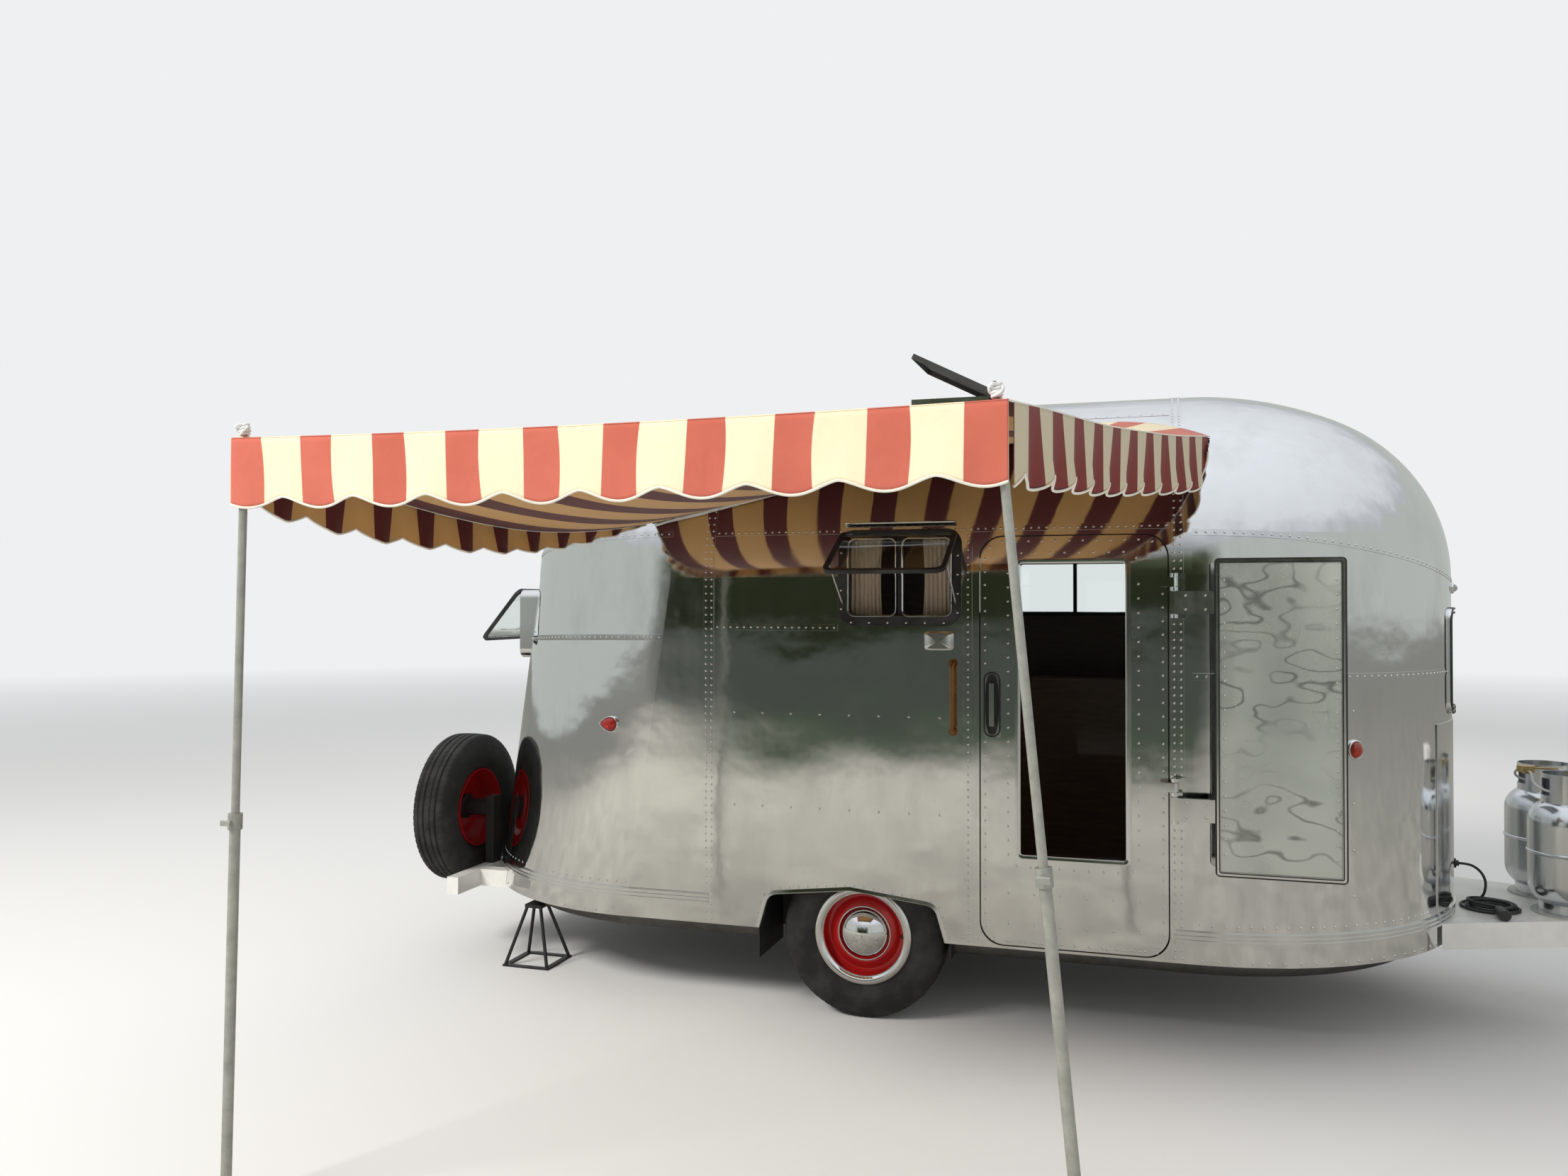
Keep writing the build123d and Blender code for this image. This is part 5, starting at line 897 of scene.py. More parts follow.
# Awning. Drop is the shortest and the longest hang of the front edge, stripes are how many and where the
# first begins, and span is where a side edge begins and ends on the way out
awningSet = {"railX": (-0.930, 1.374), "edgeX": (-1.347, 0.858), "edge": (-3.068, 2.193), "off": 0.0147,
             "railRows": ((-0.930, 2.075), (-0.700, 2.124), (-0.460, 2.185), (-0.180, 2.256), (0.100, 2.325),
                          (0.380, 2.388), (0.640, 2.440), (0.880, 2.472), (1.060, 2.466), (1.220, 2.433),
                          (1.374, 2.380)),
             "dip": (0.130, 0.060, 0.020), "edgeSag": 0.010, "edgeBow": 0.012, "pull": 0.030,
             "fan": 0.011, "railWave": 0.0028, "slackWave": 0.0035, "frontWaves": (0.005, 0.006),
             "frontLeans": (0.020, 0.011), "sideWaves": (0.014, 0.010), "sideLean": 0.007, "follow": 0.085,
             "thick": 0.0022, "drop": (0.166, 0.197), "sideDrop": (0.166, 0.150), "lobe": 0.040,
             "stripes": (9.44, 0.28), "sideStripes": (11.0, 0.28), "span": (0.022, 0.985),
             "piping": 0.0038, "sidePiping": 0.0028, "seam": 0.0022,
             "flat": (2.24, 2.30), "frontFlat": (2.21, 0.20), "sideFlat": (2.24, 0.20)}
railCurve = np.polyfit(*np.array(awningSet["railRows"]).T, 5)


# Stripes passed at a share of the way: their number times the share, and where the first begins.
def stripeCount(share, stripes=awningSet["stripes"]):
    return share * stripes[0] + stripes[1]


# Straight lines from the arched rail to the outer edge, dished by the dip, with the sides drawn in, and small
# waves that fan out of the two pole corners and stand along the rail.
def canopyPoint(u, v):
    u, v = np.broadcast_arrays(np.asarray(u, float), np.asarray(v, float))
    (rail0, rail1), (edge0, edge1) = awningSet["railX"], awningSet["edgeX"]
    edgeY, edgeZ = awningSet["edge"]
    bulge, middle = 4 * v * (1 - v), 4 * u * (1 - u)
    railX = rail0 + (rail1 - rail0) * u
    railZ = np.polyval(railCurve, railX) - 0.002
    over = np.maximum(railZ - 0.004 - bodySet["spring"], 0)
    railY = -(shoulderY + np.sqrt((bodySet["shoulder"] + awningSet["off"])**2 - over**2))
    x = railX * (1 - v) + (edge0 + (edge1 - edge0) * u) * v + awningSet["pull"] * bulge * (1 - 1.6 * u)
    y = railY + (edgeY - railY) * v + awningSet["edgeBow"] * middle * v**3
    rearDip, midDip, frontDip = awningSet["dip"]
    dip = rearDip * (1 - u) + frontDip * u + midDip * middle
    z = railZ + (edgeZ - railZ) * v - dip * bulge - awningSet["edgeSag"] * middle * v**4
    for corner in (0.0, 1.0):
        du, dv = (u - corner) * 2.2, (1 - v) * 2.2
        far = np.hypot(du, dv)
        folds = np.sin(9 * np.arctan2(dv, np.abs(du) + 1e-6) + 0.6)
        z = z + awningSet["fan"] * np.exp(-far / 0.45) * (1 - np.exp(-(far / 0.12)**2)) * folds * (1 - v**12)
    z = z + awningSet["railWave"] * np.exp(-v / 0.16) * np.sin(28 * np.pi * u + 0.5) * (1 - np.exp(-v / 0.02))
    z = z + awningSet["slackWave"] * bulge * np.sin(7 * u + 3.0 * v + 1.0) * np.sin(11 * v + 2 * u)
    return np.stack([x, y, z], -1)


# Hangs from the outer edge; its hem is a row of round scallops, lowest under the red stripes.
def frontValance(s, t):
    top = canopyPoint(s, np.ones_like(s))
    beat = 2 * np.pi * (stripeCount(s) - 0.5)
    short, long = awningSet["drop"]
    drop = short + (long - short) * (0.5 + 0.5 * np.cos(beat))**0.75
    ends = np.clip(np.minimum(s, 1 - s) / 0.05, 0, 1)
    (waveA, waveB), (leanA, leanB) = awningSet["frontWaves"], awningSet["frontLeans"]
    wave = (waveA * np.sin(beat + 1.0) + waveB * np.sin(5.5 * s * np.pi + 0.4)) * t**1.2 * ends
    lean = (leanA * np.sin(beat * 0.5 + 0.8) * (1 - t) + leanB * np.sin(6.1 * s + 0.4)) * t * ends
    return np.stack([top[..., 0] + lean, top[..., 1] - 0.0025 + wave, top[..., 2] - 0.001 - drop * t], -1)


# Hangs from a side edge in slack waves; its hem is cusped between the red stripes. The front one's inner end
# follows the body's shoulder, the rear one's runs out to nothing.
def sideValance(u, s, t):
    start, end = awningSet["span"]
    v = start + (end - start) * s
    top = canopyPoint(np.full_like(v, float(u)), v)
    count = stripeCount(s, awningSet["sideStripes"])
    lobe = awningSet["lobe"] * np.abs(np.sin(np.pi * count))**0.8
    frontDrop, rearDrop = awningSet["sideDrop"]
    if u > 0.5:
        way, grow = 1, np.clip(s / 0.075, 0, 1)**0.6
        drop = (frontDrop + lobe) * (0.35 + 0.65 * grow)
        back = -awningSet["follow"] * (1 - grow) * t
    else:
        way, back = -1, 0.0
        drop = (rearDrop + lobe) * np.clip(s, 0.02, 1)**0.9
    slack = np.clip(s / 0.1, 0, 1) * np.clip((1 - s) / 0.06, 0, 1)
    waveA, waveB = awningSet["sideWaves"]
    out = way * slack * (waveA * np.sin(2 * np.pi * count + 0.9) + waveB * np.sin(9.0 * s)) * t**1.1
    back = back + awningSet["sideLean"] * slack * np.sin(2 * np.pi * count + 2.3) * t
    return np.stack([top[..., 0] + out + way * 0.001, top[..., 1] + back, top[..., 2] - 0.001 - drop * t], -1)


# A striped sheet whose first side is shown as the back in painted shade, or, where shaded, as an outside in
# painted shade.
def awningPiece(name, points, across, down, shaded=False):
    points, faces, uv = clothShell(points, across, down, awningSet["thick"])
    if shaded:
        uv[:, 1] = np.where(uv[:, 1] < 1.0, uv[:, 1] + clothSet["shadeLift"], uv[:, 1])
    else:
        uv[:, 1] = 2.0 - uv[:, 1]
    return meshPiece(name, points, faces, "canvas", uv=uv)


# A soft cord sewn along an edge, round in section.
def pipeAlong(path, radius, count=8):
    steep = np.abs(unit(np.gradient(path, axis=0))[:, 2:]) > 0.9
    helper = np.where(steep, [[1.0, 0, 0]], [[0, 0, 1.0]])
    return closedSweep(path, helper, circleProfile(radius, count))


u, v = np.meshgrid(np.linspace(0, 1, 150), np.linspace(0, 1, 130))
canopy = awningPiece("awningCanopy", canopyPoint(u, v), stripeCount(u), v)
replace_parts(canopy, "awning_canopy")
down = np.linspace(0, 1, 16)
edge = np.linspace(0, 1, 420)
s, t = np.meshgrid(edge, down)
valance = awningPiece("awningFrontEdge", frontValance(s, t), stripeCount(s), t)
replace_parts(valance, "awning_valances")
pipes = [pipeAlong(frontValance(edge, np.ones_like(edge)), awningSet["piping"])]
edge = np.linspace(0, 1, 460)
s, t = np.meshgrid(edge, down)
for u, name, area in ((0.0, "awningRearEdge", 0.22), (1.0, "awningFrontSideEdge", 0.40)):
    count = stripeCount(s, awningSet["sideStripes"])
    # The front side edge's outside takes the painted shade colours
    piece = awningPiece(name, sideValance(u, s, t), count, t, shaded=u > 0.5)
    pipes.append(pipeAlong(sideValance(u, edge, np.ones_like(edge)), awningSet["piping"]))
edge = np.linspace(0.004, 1, 120)
for u in (0.0, 1.0):
    pipes.append(pipeAlong(canopyPoint(np.full_like(edge, u), edge), awningSet["sidePiping"]))
joinedPiece("awningPiping", pipes, "piping")
edge = np.linspace(0, 1, 300)
points, faces = pipeAlong(canopyPoint(edge, np.ones_like(edge)) + [0, -0.001, 0.001], awningSet["seam"])
uv = np.stack([np.repeat(stripeCount(edge), 8), np.full(300 * 8, 0.5)], -1)
meshPiece("awningSeam", points, faces, "canvas", uv=uv)

# Rope ties round the spikes of the two poles, and the pinch screws of their joints
poleSet = {"y": -3.05, "tops": (-1.317, 0.828), "topZ": 2.1905, "feet": (-1.370, 1.040), "split": 1.12,
           "rope": 0.0042, "turns": 4.2, "wound": 0.0095, "rise": 0.0085, "knot": (0.016, 0.008, 0.012),
           "knotAt": (0, -0.012, 0.030), "screwDown": 0.022, "wing": 0.016, "wingOut": -0.038,
           "wingSection": (0.006, 0.016, -0.008, 0.003),
           "screw": ((0.0, 0.012), (0.0065, 0.012), (0.0065, 0.034), (0.004, 0.036), (0.0, 0.036))}
ropes, clamps = [], []
for topX, footX in zip(poleSet["tops"], poleSet["feet"]):
    top = np.array([topX, poleSet["y"], poleSet["topZ"]])
    turn = np.linspace(0, 2 * np.pi * poleSet["turns"], 120)
    wide = poleSet["wound"] + 0.004 * np.sin(turn / poleSet["turns"] * 0.5)**2
    climb = 0.010 + poleSet["rise"] * turn / (2 * np.pi)
    coil = top + np.stack([wide * np.cos(turn), wide * np.sin(turn), climb], -1)
    ropes.append(rod(coil, poleSet["rope"], 8))
    turn = fullTurn(40)
    bow = np.stack([np.cos(turn), np.sin(2 * turn), np.sin(turn)], -1) * poleSet["knot"]
    bow = top + poleSet["knotAt"] + bow
    ropes.append(closedSweep(bow, (0, 1.0, 0.3), circleProfile(poleSet["rope"], 8), True))
    foot = np.array([footX, poleSet["y"], 0])
    spot = foot + unit(top - foot) * (poleSet["split"] - poleSet["screwDown"])
    clamps.append(turned(poleSet["screw"], spot, (0.0, -1.0, 0.0), 12))
    wing = [spot + (x, poleSet["wingOut"], 0) for x in (-poleSet["wing"], 0, poleSet["wing"])]
    clamps.append(closedSweep(wing, (0, 0, 1.0), boxProfile(*poleSet["wingSection"])))
joinedPiece("ropeTies", ropes, "rope")
joinedPiece("poleScrews", clamps, "pole", sharp=35)
print("awning sewn")

# Outer hatch: oil-canned sheet in its frame, two black seals and rivets. A seal is its growth past the sheet,
# its Y and its height; the hinges' rivets stand in fours
hatchSet = {"mid": (1.600, -1.151, 1.302), "half": (0.2058, 0.5678), "corner": 0.005, "face": 0.0098,
            "dent": 0.0032, "seals": ((0.0035, -1.1650, 0.0013), (0.0145, -1.1640, 0.0023)),
            "sealWide": 0.0075, "rivetX": 0.190, "rivetY": -1.1612, "rivetZ": 0.53, "pitch": 0.052,
            "hingeX": (1.275, 1.345), "hingeY": -1.1601, "hingeZ": (0.953, 1.724), "hingeStep": 0.026}
hatchX, hatchY, hatchZ = hatchSet["mid"]
halfX, halfZ = hatchSet["half"]


# Square grid pushed to a rounded rectangle: the corner's rows are drawn in along an arc.
def squircle(s, t, corner):
    x, z = s * halfX, t * halfZ
    overX, overZ = np.abs(x) - (halfX - corner), np.abs(z) - (halfZ - corner)
    both = (overX > 0) & (overZ > 0)
    share = np.maximum(overX, overZ) / (np.hypot(overX, overZ) + 1e-12)
    return (np.where(both, np.sign(x) * (halfX - corner + overX * share), x),
            np.where(both, np.sign(z) * (halfZ - corner + overZ * share), z))


# Slow crossed waves that fade out towards the frame.
def canned(x, z):
    fade = np.clip((halfX - np.abs(x)) / 0.05, 0, 1) * np.clip((halfZ - np.abs(z)) / 0.06, 0, 1)
    wave = (np.sin(13 * x + 5 * z + 1.2 * np.sin(7 * z)) + 0.8 * np.sin(9.5 * z - 8 * x + 0.7)
            + 0.6 * np.sin(21 * x * (1 + 0.3 * np.sin(4 * z)) + 3.1) + 0.35 * np.sin(31 * z + 12 * x))
    return hatchSet["dent"] * fade * wave / 2.2


flatX, flatZ = squircle(*np.meshgrid(np.linspace(-1, 1, 90), np.linspace(-1, 1, 230)), hatchSet["corner"])
face = np.stack([hatchX + flatX, hatchY - hatchSet["face"] + canned(flatX, flatZ), hatchZ + flatZ], -1)
rear = face.copy()
rear[..., 1] = hatchY + hatchSet["face"]
points = np.concatenate([face, rear[:, ::-1]], 1).reshape(-1, 3)
faces = outward(points, shellFaces(*face.shape[:2]))
hatchSheet = meshPiece("hatchSheet", points, faces, "hatchSkin", "door_hatch", sharp=50)
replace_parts(hatchSheet, "door_hatch_skin")
seals = []
for grow, y, height in hatchSet["seals"]:
    loop = roundedLoop(2 * (halfX + grow), 2 * (halfZ + grow), hatchSet["corner"] + grow * 0.5)
    profile = boxProfile(hatchSet["sealWide"], height + 0.004, -0.004, 0.002)
    seals.append(closedSweep(stood(loop, (hatchX, y, hatchZ)), (0, -1.0, 0), profile, True))
joinedPiece("hatchSeal", seals, "gasket", "door_hatch", sharp=40)
for way in (-1, 1):
    row = [(hatchX + way * hatchSet["rivetX"], hatchSet["rivetY"], hatchZ + z)
           for z in line(-hatchSet["rivetZ"], hatchSet["rivetZ"], 40)]
    rivetLine("door_hatch", (np.array(row), (0, -1.0, 0)), hatchSet["pitch"])
hingeSpots = [[x, hatchSet["hingeY"], z + step] for z in hatchSet["hingeZ"] for x in hatchSet["hingeX"]
              for step in (-hatchSet["hingeStep"], hatchSet["hingeStep"])]
rivets["door_hatch"].append((np.array(hingeSpots), np.tile([0.0, -1.0, 0.0], (len(hingeSpots), 1))))

# Tyres: the section's line carried round, with grooves cut along the tread and nicks across its edges. Big
# and spare are radius and width
wheelSet = {"y": 0.9095, "z": 0.343}
spareSet = {"x": -2.165, "y": -0.530, "z": 0.695}
tyreSet = {"big": (0.343, 0.205), "spare": (0.365, 0.190), "crown": 0.003,
           "flank": ((0.192, -0.60), (0.192, -0.70), (0.214, -0.80), (0.238, -0.93)),
           "shoulder": ((0.085, -1.0), (0.045, -0.955), (0.022, -0.885), (0.009, -0.81)), "treadHalf": 0.70,
           "ribs": (0.222, 0.255), "topRibs": (0.070, 0.052), "ribHigh": 0.0016, "ribWide": 0.0018,
           "grooves": (-0.050, -0.018, 0.018, 0.050), "grooveWidth": 0.0055, "grooveDepth": 0.0075,
           "nicks": 74, "nickDepth": 0.0042, "steps": 444}


# Section from bead to bead: flank, shoulder, tread and back, with ring ribs on the flanks. Flank points are
# radius and share of half the width, shoulder points the same measured down from the radius. Depths are
# taken off the radius: four grooves round the tread, nicks across its blocks and over its shoulders.
def tyreShape(radius, width):
    half = width / 2
    knots = [(r, share * half) for r, share in tyreSet["flank"]]
    knots += [(radius - down, share * half) for down, share in tyreSet["shoulder"]]
    side = between(np.array(knots), np.linspace(0, len(knots) - 1, 40))
    for _ in range(3):
        side[1:-1] = (side[:-2] + 2 * side[1:-1] + side[2:]) / 4
    reach = side[:, 0].copy()
    for ring in (*tyreSet["ribs"], *(radius - down for down in tyreSet["topRibs"])):
        side[:, 1] -= tyreSet["ribHigh"] * np.exp(-((reach - ring) / tyreSet["ribWide"])**2)
    edge = tyreSet["treadHalf"] * half
    grooveWidth = tyreSet["grooveWidth"]
    grooves = [groove * width / tyreSet["big"][1] for groove in tyreSet["grooves"]]
    across = [groove + share * grooveWidth for groove in grooves for share in (-1, -0.62, 0, 0.62, 1)]
    across = np.unique(np.round(np.concatenate([across, np.linspace(-edge, edge, 22)]), 5))
    deep = np.zeros(len(across))
    for groove in grooves:
        share = np.clip((grooveWidth - np.abs(across - groove)) / (grooveWidth * 0.38), 0, 1)
        deep = np.maximum(deep, tyreSet["grooveDepth"] * share)
    tread = np.stack([radius - tyreSet["crown"] * (across / edge)**2 - deep, across], -1)
    profile = np.concatenate([side, tread, side[::-1] * (1, -1)])
    blocks = np.concatenate([np.zeros(len(side)), np.ones(len(tread)), np.zeros(len(side))])
    shoulder = np.clip((profile[:, 0] - (radius - 0.030)) / 0.014, 0, 1) * (1 - blocks)
    top = blocks * (radius - tyreSet["crown"] - profile[:, 0] < 0.002)
    turn = fullTurn(tyreSet["steps"])
    beat = (turn[:, None] * tyreSet["nicks"] / (2 * np.pi) + profile[None, :, 1] * 9) % 1
    nick = np.clip(1 - np.abs(beat - 0.5) / 0.14, 0, 1)**0.5
    return profile, turn, tyreSet["nickDepth"] * nick * (0.55 * top + shoulder)


# Each point of the section stands its radius less its depth from the axle, turned round it.
def tyrePiece(name, node, centre, axis, size, body):
    profile, turn, depth = tyreShape(*size)
    reach = profile[None, :, 0] - depth
    away = reach[..., None] * ringAbout(axis, turn)[:, None] + profile[None, :, 1:] * np.array(axis, float)
    away = away.reshape(-1, 3)
    faces = outward(away, [gridFaces(len(turn), len(profile), True, True)])
    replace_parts(meshPiece(name, away + centre, faces, "tyre", body), node)


for side, name in ((-1, "curb"), (1, "street")):
    tyrePiece("tyre" + name.capitalize(), "tyre_" + name, (0, side * wheelSet["y"], wheelSet["z"]), (0, 1, 0),
              tyreSet["big"], "wheel_" + name)
spareCentre = (spareSet["x"], spareSet["y"], spareSet["z"])
tyrePiece("spareTyre", "spare_tyre", spareCentre, (1, 0, 0), tyreSet["spare"], "trailer")

# Wheel fittings: nuts, near-black discs as painted shade in the holes and a dark hub on the spare, air
# valves, and a bead round each cap. Rows are X and the radius of their circle; stem points are X and how far
# out of the wheel's middle
fittingSet = {"nuts": (-2.2095, 0.070), "holes": (-2.1978, 0.1625), "hubs": (-2.2105, 0.0),
              "nut": ((0, 0.0), (0.0105, 0.0), (0.0105, 0.010), (0.0075, 0.015), (0, 0.016)),
              "hole": ((0, -0.001), (0.0095, -0.001), (0.0095, 0.0012), (0, 0.0012)),
              "hub": ((0, -0.001), (0.034, -0.001), (0.034, 0.004), (0.030, 0.006), (0, 0.006)),
              "stem": ((0.155, 0.045), (0.160, 0.066), (0.1645, 0.082)), "stemRadius": 0.0042,
              "bead": 0.0035, "beadAt": (0.1105, 0.0525)}


# A turned fitting at even angles about the spare wheel's middle, facing the rear.
def spareRow(profile, x, radius, angles, steps):
    return [turned(profile, (x, spareSet["y"] + radius * math.cos(a), spareSet["z"] + radius * math.sin(a)),
                   (-1.0, 0, 0), steps) for a in angles]


nuts = spareRow(fittingSet["nut"], *fittingSet["nuts"], fullTurn(5) + 0.3, 6)
joinedPiece("spareNuts", nuts, "chrome", sharp=30)
# The holes are near-black discs as painted shade in the openings
holes = spareRow(fittingSet["hole"], *fittingSet["holes"], fullTurn(10) + np.pi / 10, 16)
holes += spareRow(fittingSet["hub"], *fittingSet["hubs"], [0.0], 40)
joinedPiece("spareHoles", holes, "dark", sharp=30)
for side, name in ((-1, "curb"), (1, "street")):
    y = side * wheelSet["y"]
    stem = [(x, y + side * out, wheelSet["z"]) for x, out in fittingSet["stem"]]
    meshPiece("airValve_" + name, *rod(stem, fittingSet["stemRadius"]), "gasket", "wheel_" + name,
              "tyre_rubber", sharp=40)
    bead = turned(circleProfile(fittingSet["bead"], 10) + fittingSet["beadAt"], (0, y, wheelSet["z"]),
                  (0.0, float(side), 0.0), 96, True)
    meshPiece("capBead_" + name, *bead, "chrome", "wheel_" + name)
print("wheels made")


# Spot on a rounded end with the level direction towards the front, up, and its outward direction.
def endPlace(x, side, z, centre):
    away = x - centre
    out = side * math.sqrt(bodySet["halfWidth"]**2 - away**2)
    normal = np.array([away, out, 0.0]) / bodySet["halfWidth"]
    right = np.array([abs(normal[1]), -normal[0] * np.sign(normal[1]), 0.0])
    return np.array([x, out, z]), right, np.array([0, 0, 1.0]), normal


# The same for a spot on the entrance side, which faces straight out.
def curbPlace(x, y, z):
    return np.array([x, y, z]), np.array([1.0, 0, 0]), np.array([0, 0, 1.0]), np.array([0, -1.0, 0])


# The turn's cosine and sine, stretched to the half sizes.
def oval(turn, wide, high):
    return wide * np.cos(turn), high * np.sin(turn)


# An oval with a point at the half turn.
def tear(turn, wide, high):
    taper = ((1.06 + np.cos(turn)) / 2)**0.42
    return wide * np.cos(turn), high * np.sin(turn) * taper * 1.14


# An oval pushed out towards a rectangle: the smaller the powers, the squarer.
def squared(turn, wide, high, powerX, powerZ):
    x, z = np.cos(turn), np.sin(turn)
    return np.sign(x) * wide * np.abs(x)**powerX, np.sign(z) * high * np.abs(z)**powerZ


# Rings of the outline, shrunk to each share and lifted to each height, from the top middle to the base.
def domed(outline, size, profile, place, lift=0.0, steps=64):
    spot, right, up, normal = place
    spot = spot + normal * lift
    x, y = (part[:, None, None] for part in outline(fullTurn(steps), *size))
    profile = np.asarray(profile, float)
    away = profile[None, :, :1] * (x * right + y * up) + profile[None, :, 1:] * normal
    away = away.reshape(-1, 3)
    return away + spot, outward(away, [gridFaces(steps, len(profile), True, False)])


# A quarter of a round dome down to its rim, then a flat back.
def lensProfile(height):
    dome = [(math.sin(a), height * math.cos(a)) for a in np.linspace(0, np.pi / 2, 9)]
    return dome + [(1.0, -0.002), (0.0, -0.002)]


# A sunk middle, a lip outside it, and a rim that falls to the skin.
def bezelProfile(inner, height):
    lip = ((0.0, 0.45), (inner, 0.45), (inner + 0.03, 0.8), (inner + 0.09, 1.0), (0.97, 0.72), (1.0, 0.35))
    return [(share, height * up) for share, up in lip] + [(1.0, -0.003), (0.0, -0.003)]


# Lamps: lens domes in bright bezels, set on the skin where the plain ones stand. Bezel and lens are half
# sizes; inner is the share of the bezel inside its lip
lampSet = {
    "redTearLenses": {"outline": tear, "finish": "redLens", "x": -1.130, "z": 1.190,
                      "bezel": (0.053, 0.039), "inner": 0.82, "lip": 0.012,
                      "lens": (0.043, 0.031), "dome": 0.017, "lift": 0.006},
    "sideMarkerLenses": {"outline": oval, "finish": "amberLens", "x": 1.880, "z": 1.170,
                         "bezel": (0.034, 0.038), "inner": 0.78, "lip": 0.014,
                         "lens": (0.0275, 0.0310), "dome": 0.026, "lift": 0.006},
    "clearanceLenses": {"outline": oval, "finish": "clearLens", "x": 2.350, "z": 1.785,
                        "bezel": (0.030, 0.024), "inner": 0.72, "lip": 0.010,
                        "lens": (0.022, 0.017), "dome": 0.020, "lift": 0.004},
}
bezels, lensPieces = [], {}
for name, lamp in lampSet.items():
    centre = bodySet["front"] if lamp["x"] > 0 else float(rearCentre(lamp["z"]))
    places = [endPlace(lamp["x"], side, lamp["z"], centre) for side in (-1, 1)]
    rim, dome = bezelProfile(lamp["inner"], lamp["lip"]), lensProfile(lamp["dome"])
    bezels += [domed(lamp["outline"], lamp["bezel"], rim, place) for place in places]
    lenses = [domed(lamp["outline"], lamp["lens"], dome, place, lamp["lift"]) for place in places]
    lensPieces[name] = joinedPiece(name, lenses, lamp["finish"], weld=True)
joinedPiece("lampBezels", bezels, "chrome", weld=True)
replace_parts(lensPieces["redTearLenses"], "red_lamps")
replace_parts(lensPieces["clearanceLenses"], "marker_lamps")
print("lamps set")

# Curtains: pleated cloth on a rod, gathered to the two ends of the window
curtainSet = {"spans": ((-0.058, 0.088, "curtainRear"), (0.257, 0.403, "curtainFront")), "y": -1.0025,
              "top": 1.994, "drop": 0.352, "wide": 0.24, "thick": 0.0016, "pleat": 0.0085, "pleats": 7.5,
              "waist": 0.10, "rodX": (-0.060, 0.405), "rodZ": 2.000, "rod": 0.0045}
s, t = np.meshgrid(np.linspace(0, 1, 150), np.linspace(0, 1, 26))
fold = 2 * np.pi * curtainSet["pleats"] * s + 0.8 * np.sin(3 * t + 5 * s)
deep = curtainSet["pleat"] * (0.72 + 0.25 * t) * (0.8 + 0.2 * np.sin(9 * s))
squeeze = 1 - curtainSet["waist"] * np.sin(np.pi * np.clip(t * 1.05, 0, 1))
curtainMade = []
for x0, x1, name in curtainSet["spans"]:
    x = (x0 + x1) / 2 + (s - 0.5) * (x1 - x0) * squeeze
    y, z = curtainSet["y"] + deep * np.sin(fold), curtainSet["top"] - curtainSet["drop"] * t
    points, faces, uv = clothShell(np.stack([x, y, z], -1), s, t, curtainSet["thick"])
    piece = meshPiece(name, points, faces, "curtain", uv=uv)
    curtainMade.append(piece)
rodPath = [(x, curtainSet["y"], curtainSet["rodZ"]) for x in line(*curtainSet["rodX"], 12)]
meshPiece("curtainRod", *rod(rodPath, curtainSet["rod"], 12), "brass", sharp=40)
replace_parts(curtainMade[0], "curtains")

# Latch: black rim, and a near-black plate as painted shade in the pocket
latchSet = {"x": 0.548, "z": 1.320, "rimY": -1.0768, "pocketY": -1.0765, "rim": (0.060, 0.252, 0.0285, 10),
            "rimSection": (0.007, 0.006, -0.001, 0.002), "pocket": (0.026, 0.120, 0.6, 0.75),
            "profile": ((0, 0.0008), (0.9, 0.0008), (1.0, 0.0), (1.0, -0.0015), (0, -0.0015))}
loop = stood(roundedLoop(*latchSet["rim"]), (latchSet["x"], latchSet["rimY"], latchSet["z"]))
meshPiece("latchRim", *closedSweep(loop, (0, -1.0, 0), boxProfile(*latchSet["rimSection"]), True), "gasket",
          "entrance_door", sharp=40)
# The pocket's plate is painted shade
place = curbPlace(latchSet["x"], latchSet["pocketY"], latchSet["z"])
meshPiece("latchPocket", *domed(squared, latchSet["pocket"], latchSet["profile"], place), "dark",
          "entrance_door", "bright_trim", weld=True, sharp=40)

# Weld round each gas cylinder; section is its half width and half height
weldSet = {"radius": 0.1556, "section": (0.0042, 0.007), "spot": (2.790, 0.175, 0.700)}
weldX, weldY, weldZ = weldSet["spot"]
profile = circleProfile(1.0, 10) * weldSet["section"] + (weldSet["radius"], 0)
joinedPiece("cylinderWelds", [turned(profile, (weldX, side * weldY, weldZ), (0, 0, 1.0), 96, True)
                              for side in (-1, 1)], "gasSteel")

# Ribs along the open vent lid
lidSet = {"tilt": math.radians(27), "hinge": (0.451, 0, 2.712), "rows": (-0.14, -0.07, 0.0, 0.07, 0.14),
          "run": (-0.42, -0.032), "lift": 0.004,
          "profile": ((-0.011, -0.001), (0.011, -0.001), (0.006, 0.0045), (-0.006, 0.0045))}
lidRight = np.array([math.cos(lidSet["tilt"]), 0, -math.sin(lidSet["tilt"])])
lidUp = np.array([math.sin(lidSet["tilt"]), 0, math.cos(lidSet["tilt"])])
lidLine = line(*lidSet["run"], 24)[:, None] * lidRight + lidUp * lidSet["lift"] + lidSet["hinge"]
ribs = [closedSweep(lidLine + (0, y, 0), lidUp, lidSet["profile"]) for y in lidSet["rows"]]
joinedPiece("ventLidRibs", ribs, "ventLid", "vent_lid", sharp=30)

# Lamp box under the window, a squared dome
porchSet = {"place": (0.335, -1.0700, 1.570), "size": (0.060, 0.038, 0.3, 0.3),
            "profile": ((0, 0.024), (0.80, 0.024), (0.86, 0.022), (1.0, 0.004), (1.0, -0.001), (0, -0.001))}
plate = domed(squared, porchSet["size"], porchSet["profile"], curbPlace(*porchSet["place"]))
meshPiece("porchLamp", *plate, "trim", weld=True, sharp=30)
for body, rows in rivets.items():
    rivetHeads(body, rows)
print("rivets set")

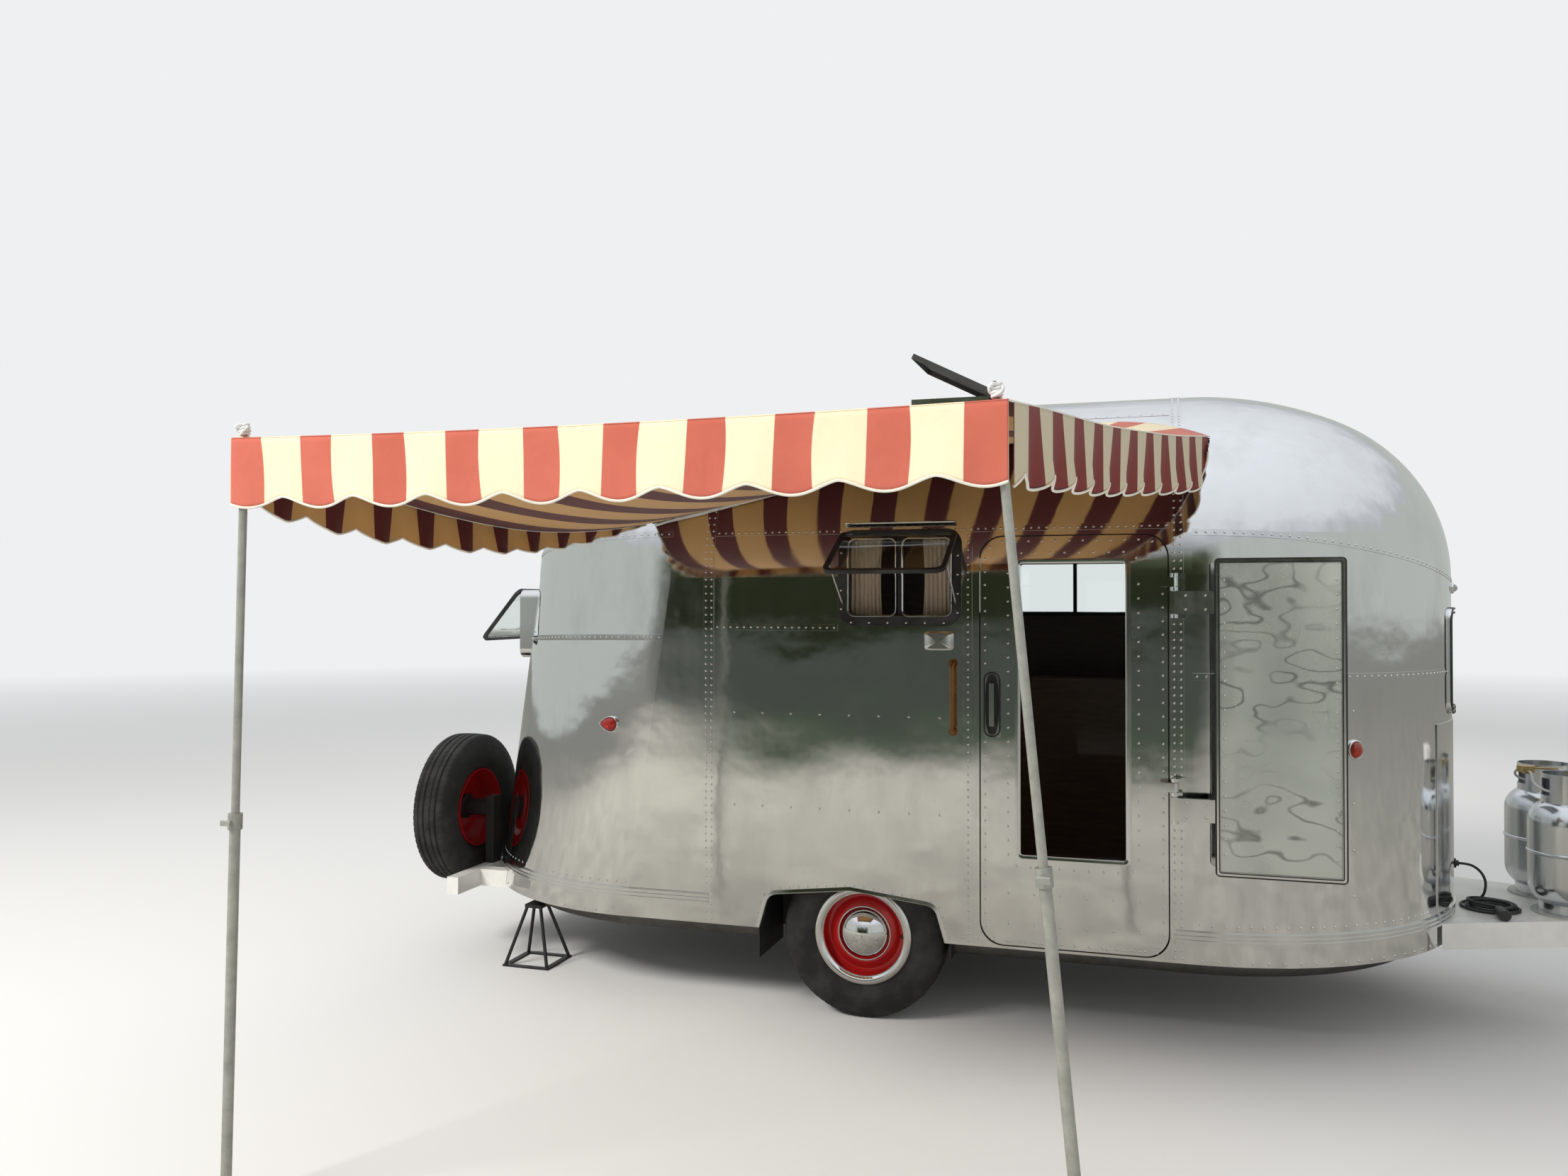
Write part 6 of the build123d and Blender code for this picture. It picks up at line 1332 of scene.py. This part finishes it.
# Room: pale floor that fades into a pale surround. Only mirrored rays see a mottled ground with a dark belt
# on the entrance side and a sky above, which gives the polished sheet its form. Belt way is the middle of the
# belt and how far from it the belt thins and ends; sky is height and brightness
roomSet = {"floor": (0.78, 0.78, 0.77), "half": 60.0, "floorZ": -0.0005, "surround": (0.86, 0.87, 0.88),
           "fade": (9.0, 30.0), "fill": 0.64, "ground": (0.40, 0.385, 0.34), "belt": (0.026, 0.040, 0.016),
           "beltFrom": (6.0, 9.5), "beltWay": (-0.14, 0.26, 0.40), "haze": (0.50, 0.53, 0.50),
           "sky": ((-0.02, 0.022), (0.10, 0.035), (0.20, 0.10), (0.32, 0.40), (0.55, 0.78), (1.0, 0.95))}


# 1 where a level direction points away from the belt.
def outsideBelt(tree, heading):
    middle, within, past = roomSet["beltWay"]
    across, along = axesOf(tree, heading)[:2]
    far = maths(tree, "ABSOLUTE", maths(tree, "SUBTRACT", across, middle))
    return maths(tree, "MAXIMUM", spread(tree, far, within, past), spread(tree, along, -0.3, 0.0))


half = roomSet["half"]
floorMesh = bpy.data.meshes.new("floor")
corners = [(x * half, y * half, roomSet["floorZ"]) for x, y in ((-1, -1), (1, -1), (1, 1), (-1, 1))]
floorMesh.from_pydata(corners, [], [(0, 1, 2, 3)])
floor = bpy.data.objects.new("floor", floorMesh)
scene.collection.objects.link(floor)
floorMaterial, tree, shader, place = startMaterial("paleFloor", roomSet["floor"], 0.0, 0.8)
mirrored = tree.nodes.new("ShaderNodeLightPath").outputs["Is Glossy Ray"]
away = vectorMaths(tree, "LENGTH", {0: place}, "Value")
ragged = maths(tree, "ADD", away, spread(tree, noise(tree, place, 0.35, 6.0, 0.7), 0.3, 0.7, -1.2, 1.2))
mottle = spread(tree, noise(tree, place, 2.5, 8.0, 0.75), 0.3, 0.7, 0.6, 1.3)
ground = vectorMaths(tree, "SCALE", {0: roomSet["ground"], "Scale": mottle})
heading = vectorMaths(tree, "NORMALIZE", {0: place})
beltHere = maths(tree, "MULTIPLY", spread(tree, ragged, *roomSet["beltFrom"]),
                 lacking(tree, outsideBelt(tree, heading)))
ground = mixed(tree, beltHere, ground, roomSet["belt"])
plug(tree, shader, Base_Color=mixed(tree, mirrored, roomSet["floor"], ground))
glow = addNode(tree, "ShaderNodeEmission", {"Color": (*roomSet["surround"], 1.0)})
fading = maths(tree, "MULTIPLY", spread(tree, away, *roomSet["fade"]), lacking(tree, mirrored))
blend = addNode(tree, "ShaderNodeMixShader", {0: fading, 1: shader.outputs[0], 2: glow.outputs[0]})
tree.links.new(blend.outputs[0], tree.nodes["Material Output"].inputs["Surface"])
floorMesh.materials.append(floorMaterial)

world = bpy.data.worlds.new("surround")
scene.world = world
world.use_nodes = True
tree = world.node_tree
back = tree.nodes["Background"]
ray = tree.nodes.new("ShaderNodeLightPath").outputs
direction = tree.nodes.new("ShaderNodeTexCoord").outputs["Generated"]
uneven = spread(tree, noise(tree, direction, 7.0, 6.0, 0.7), 0.3, 0.7, -0.07, 0.07)
height = maths(tree, "ADD", axesOf(tree, direction)[2], uneven)
ramp = tree.nodes.new("ShaderNodeValToRGB")
while len(ramp.color_ramp.elements) < len(roomSet["sky"]):
    ramp.color_ramp.elements.new(0.5)
for element, (spot, grey) in zip(ramp.color_ramp.elements, roomSet["sky"]):
    element.position = (spot + 1) / 2
    light = min(1.0, grey / 0.4)
    element.color = (grey * (0.80 + 0.16 * light), grey, grey * (0.45 + 0.60 * light), 1.0)
tree.links.new(spread(tree, height, -1.0, 1.0), ramp.inputs[0])
seen = maths(tree, "MAXIMUM", ray["Is Camera Ray"], ray["Is Transmission Ray"])
onlyMirrored = maths(tree, "MULTIPLY", ray["Is Glossy Ray"], lacking(tree, seen))
haze = vectorMaths(tree, "MAXIMUM", {0: ramp.outputs[0], 1: roomSet["haze"]})
shown = mixed(tree, outsideBelt(tree, direction), ramp.outputs[0], haze)
tree.links.new(mixed(tree, onlyMirrored, roomSet["surround"], shown), back.inputs["Color"])
full = maths(tree, "MAXIMUM", seen, ray["Is Glossy Ray"])
tree.links.new(spread(tree, full, 0.0, 1.0, roomSet["fill"], 1.0), back.inputs["Strength"])


# A soft rectangular lamp that mirrors leave out.
def softLamp(name, place, aim, size, power, tint):
    data = bpy.data.lights.new(name, "AREA")
    data.shape = "RECTANGLE"
    data.size, data.size_y = size
    data.energy = power
    data.color = tint
    lamp = bpy.data.objects.new(name, data)
    scene.collection.objects.link(lamp)
    lamp.location = placed(place)
    lamp.rotation_euler = (Vector(placed(aim)) - lamp.location).to_track_quat("-Z", "Y").to_euler()
    lamp.visible_glossy = False


# Place, aim, size, power and tint of each
lightSet = {"keyLamp": ((-6.0, -9.0, 8.5), (0, 0, 1), (4.0, 3.0), 1300, (1.0, 0.97, 0.92)),
            "fillLamp": ((8.0, -7.0, 5.0), (0.5, 0, 1.2), (5.0, 4.0), 60, (1.0, 1.0, 1.0)),
            "backLamp": ((0, 10.0, 6.0), (0, 0, 1.2), (8.0, 3.0), 240, (1.0, 1.0, 1.0))}
for name, light in lightSet.items():
    softLamp(name, *light)
scene.view_settings.view_transform = "Standard"
print("room lit")
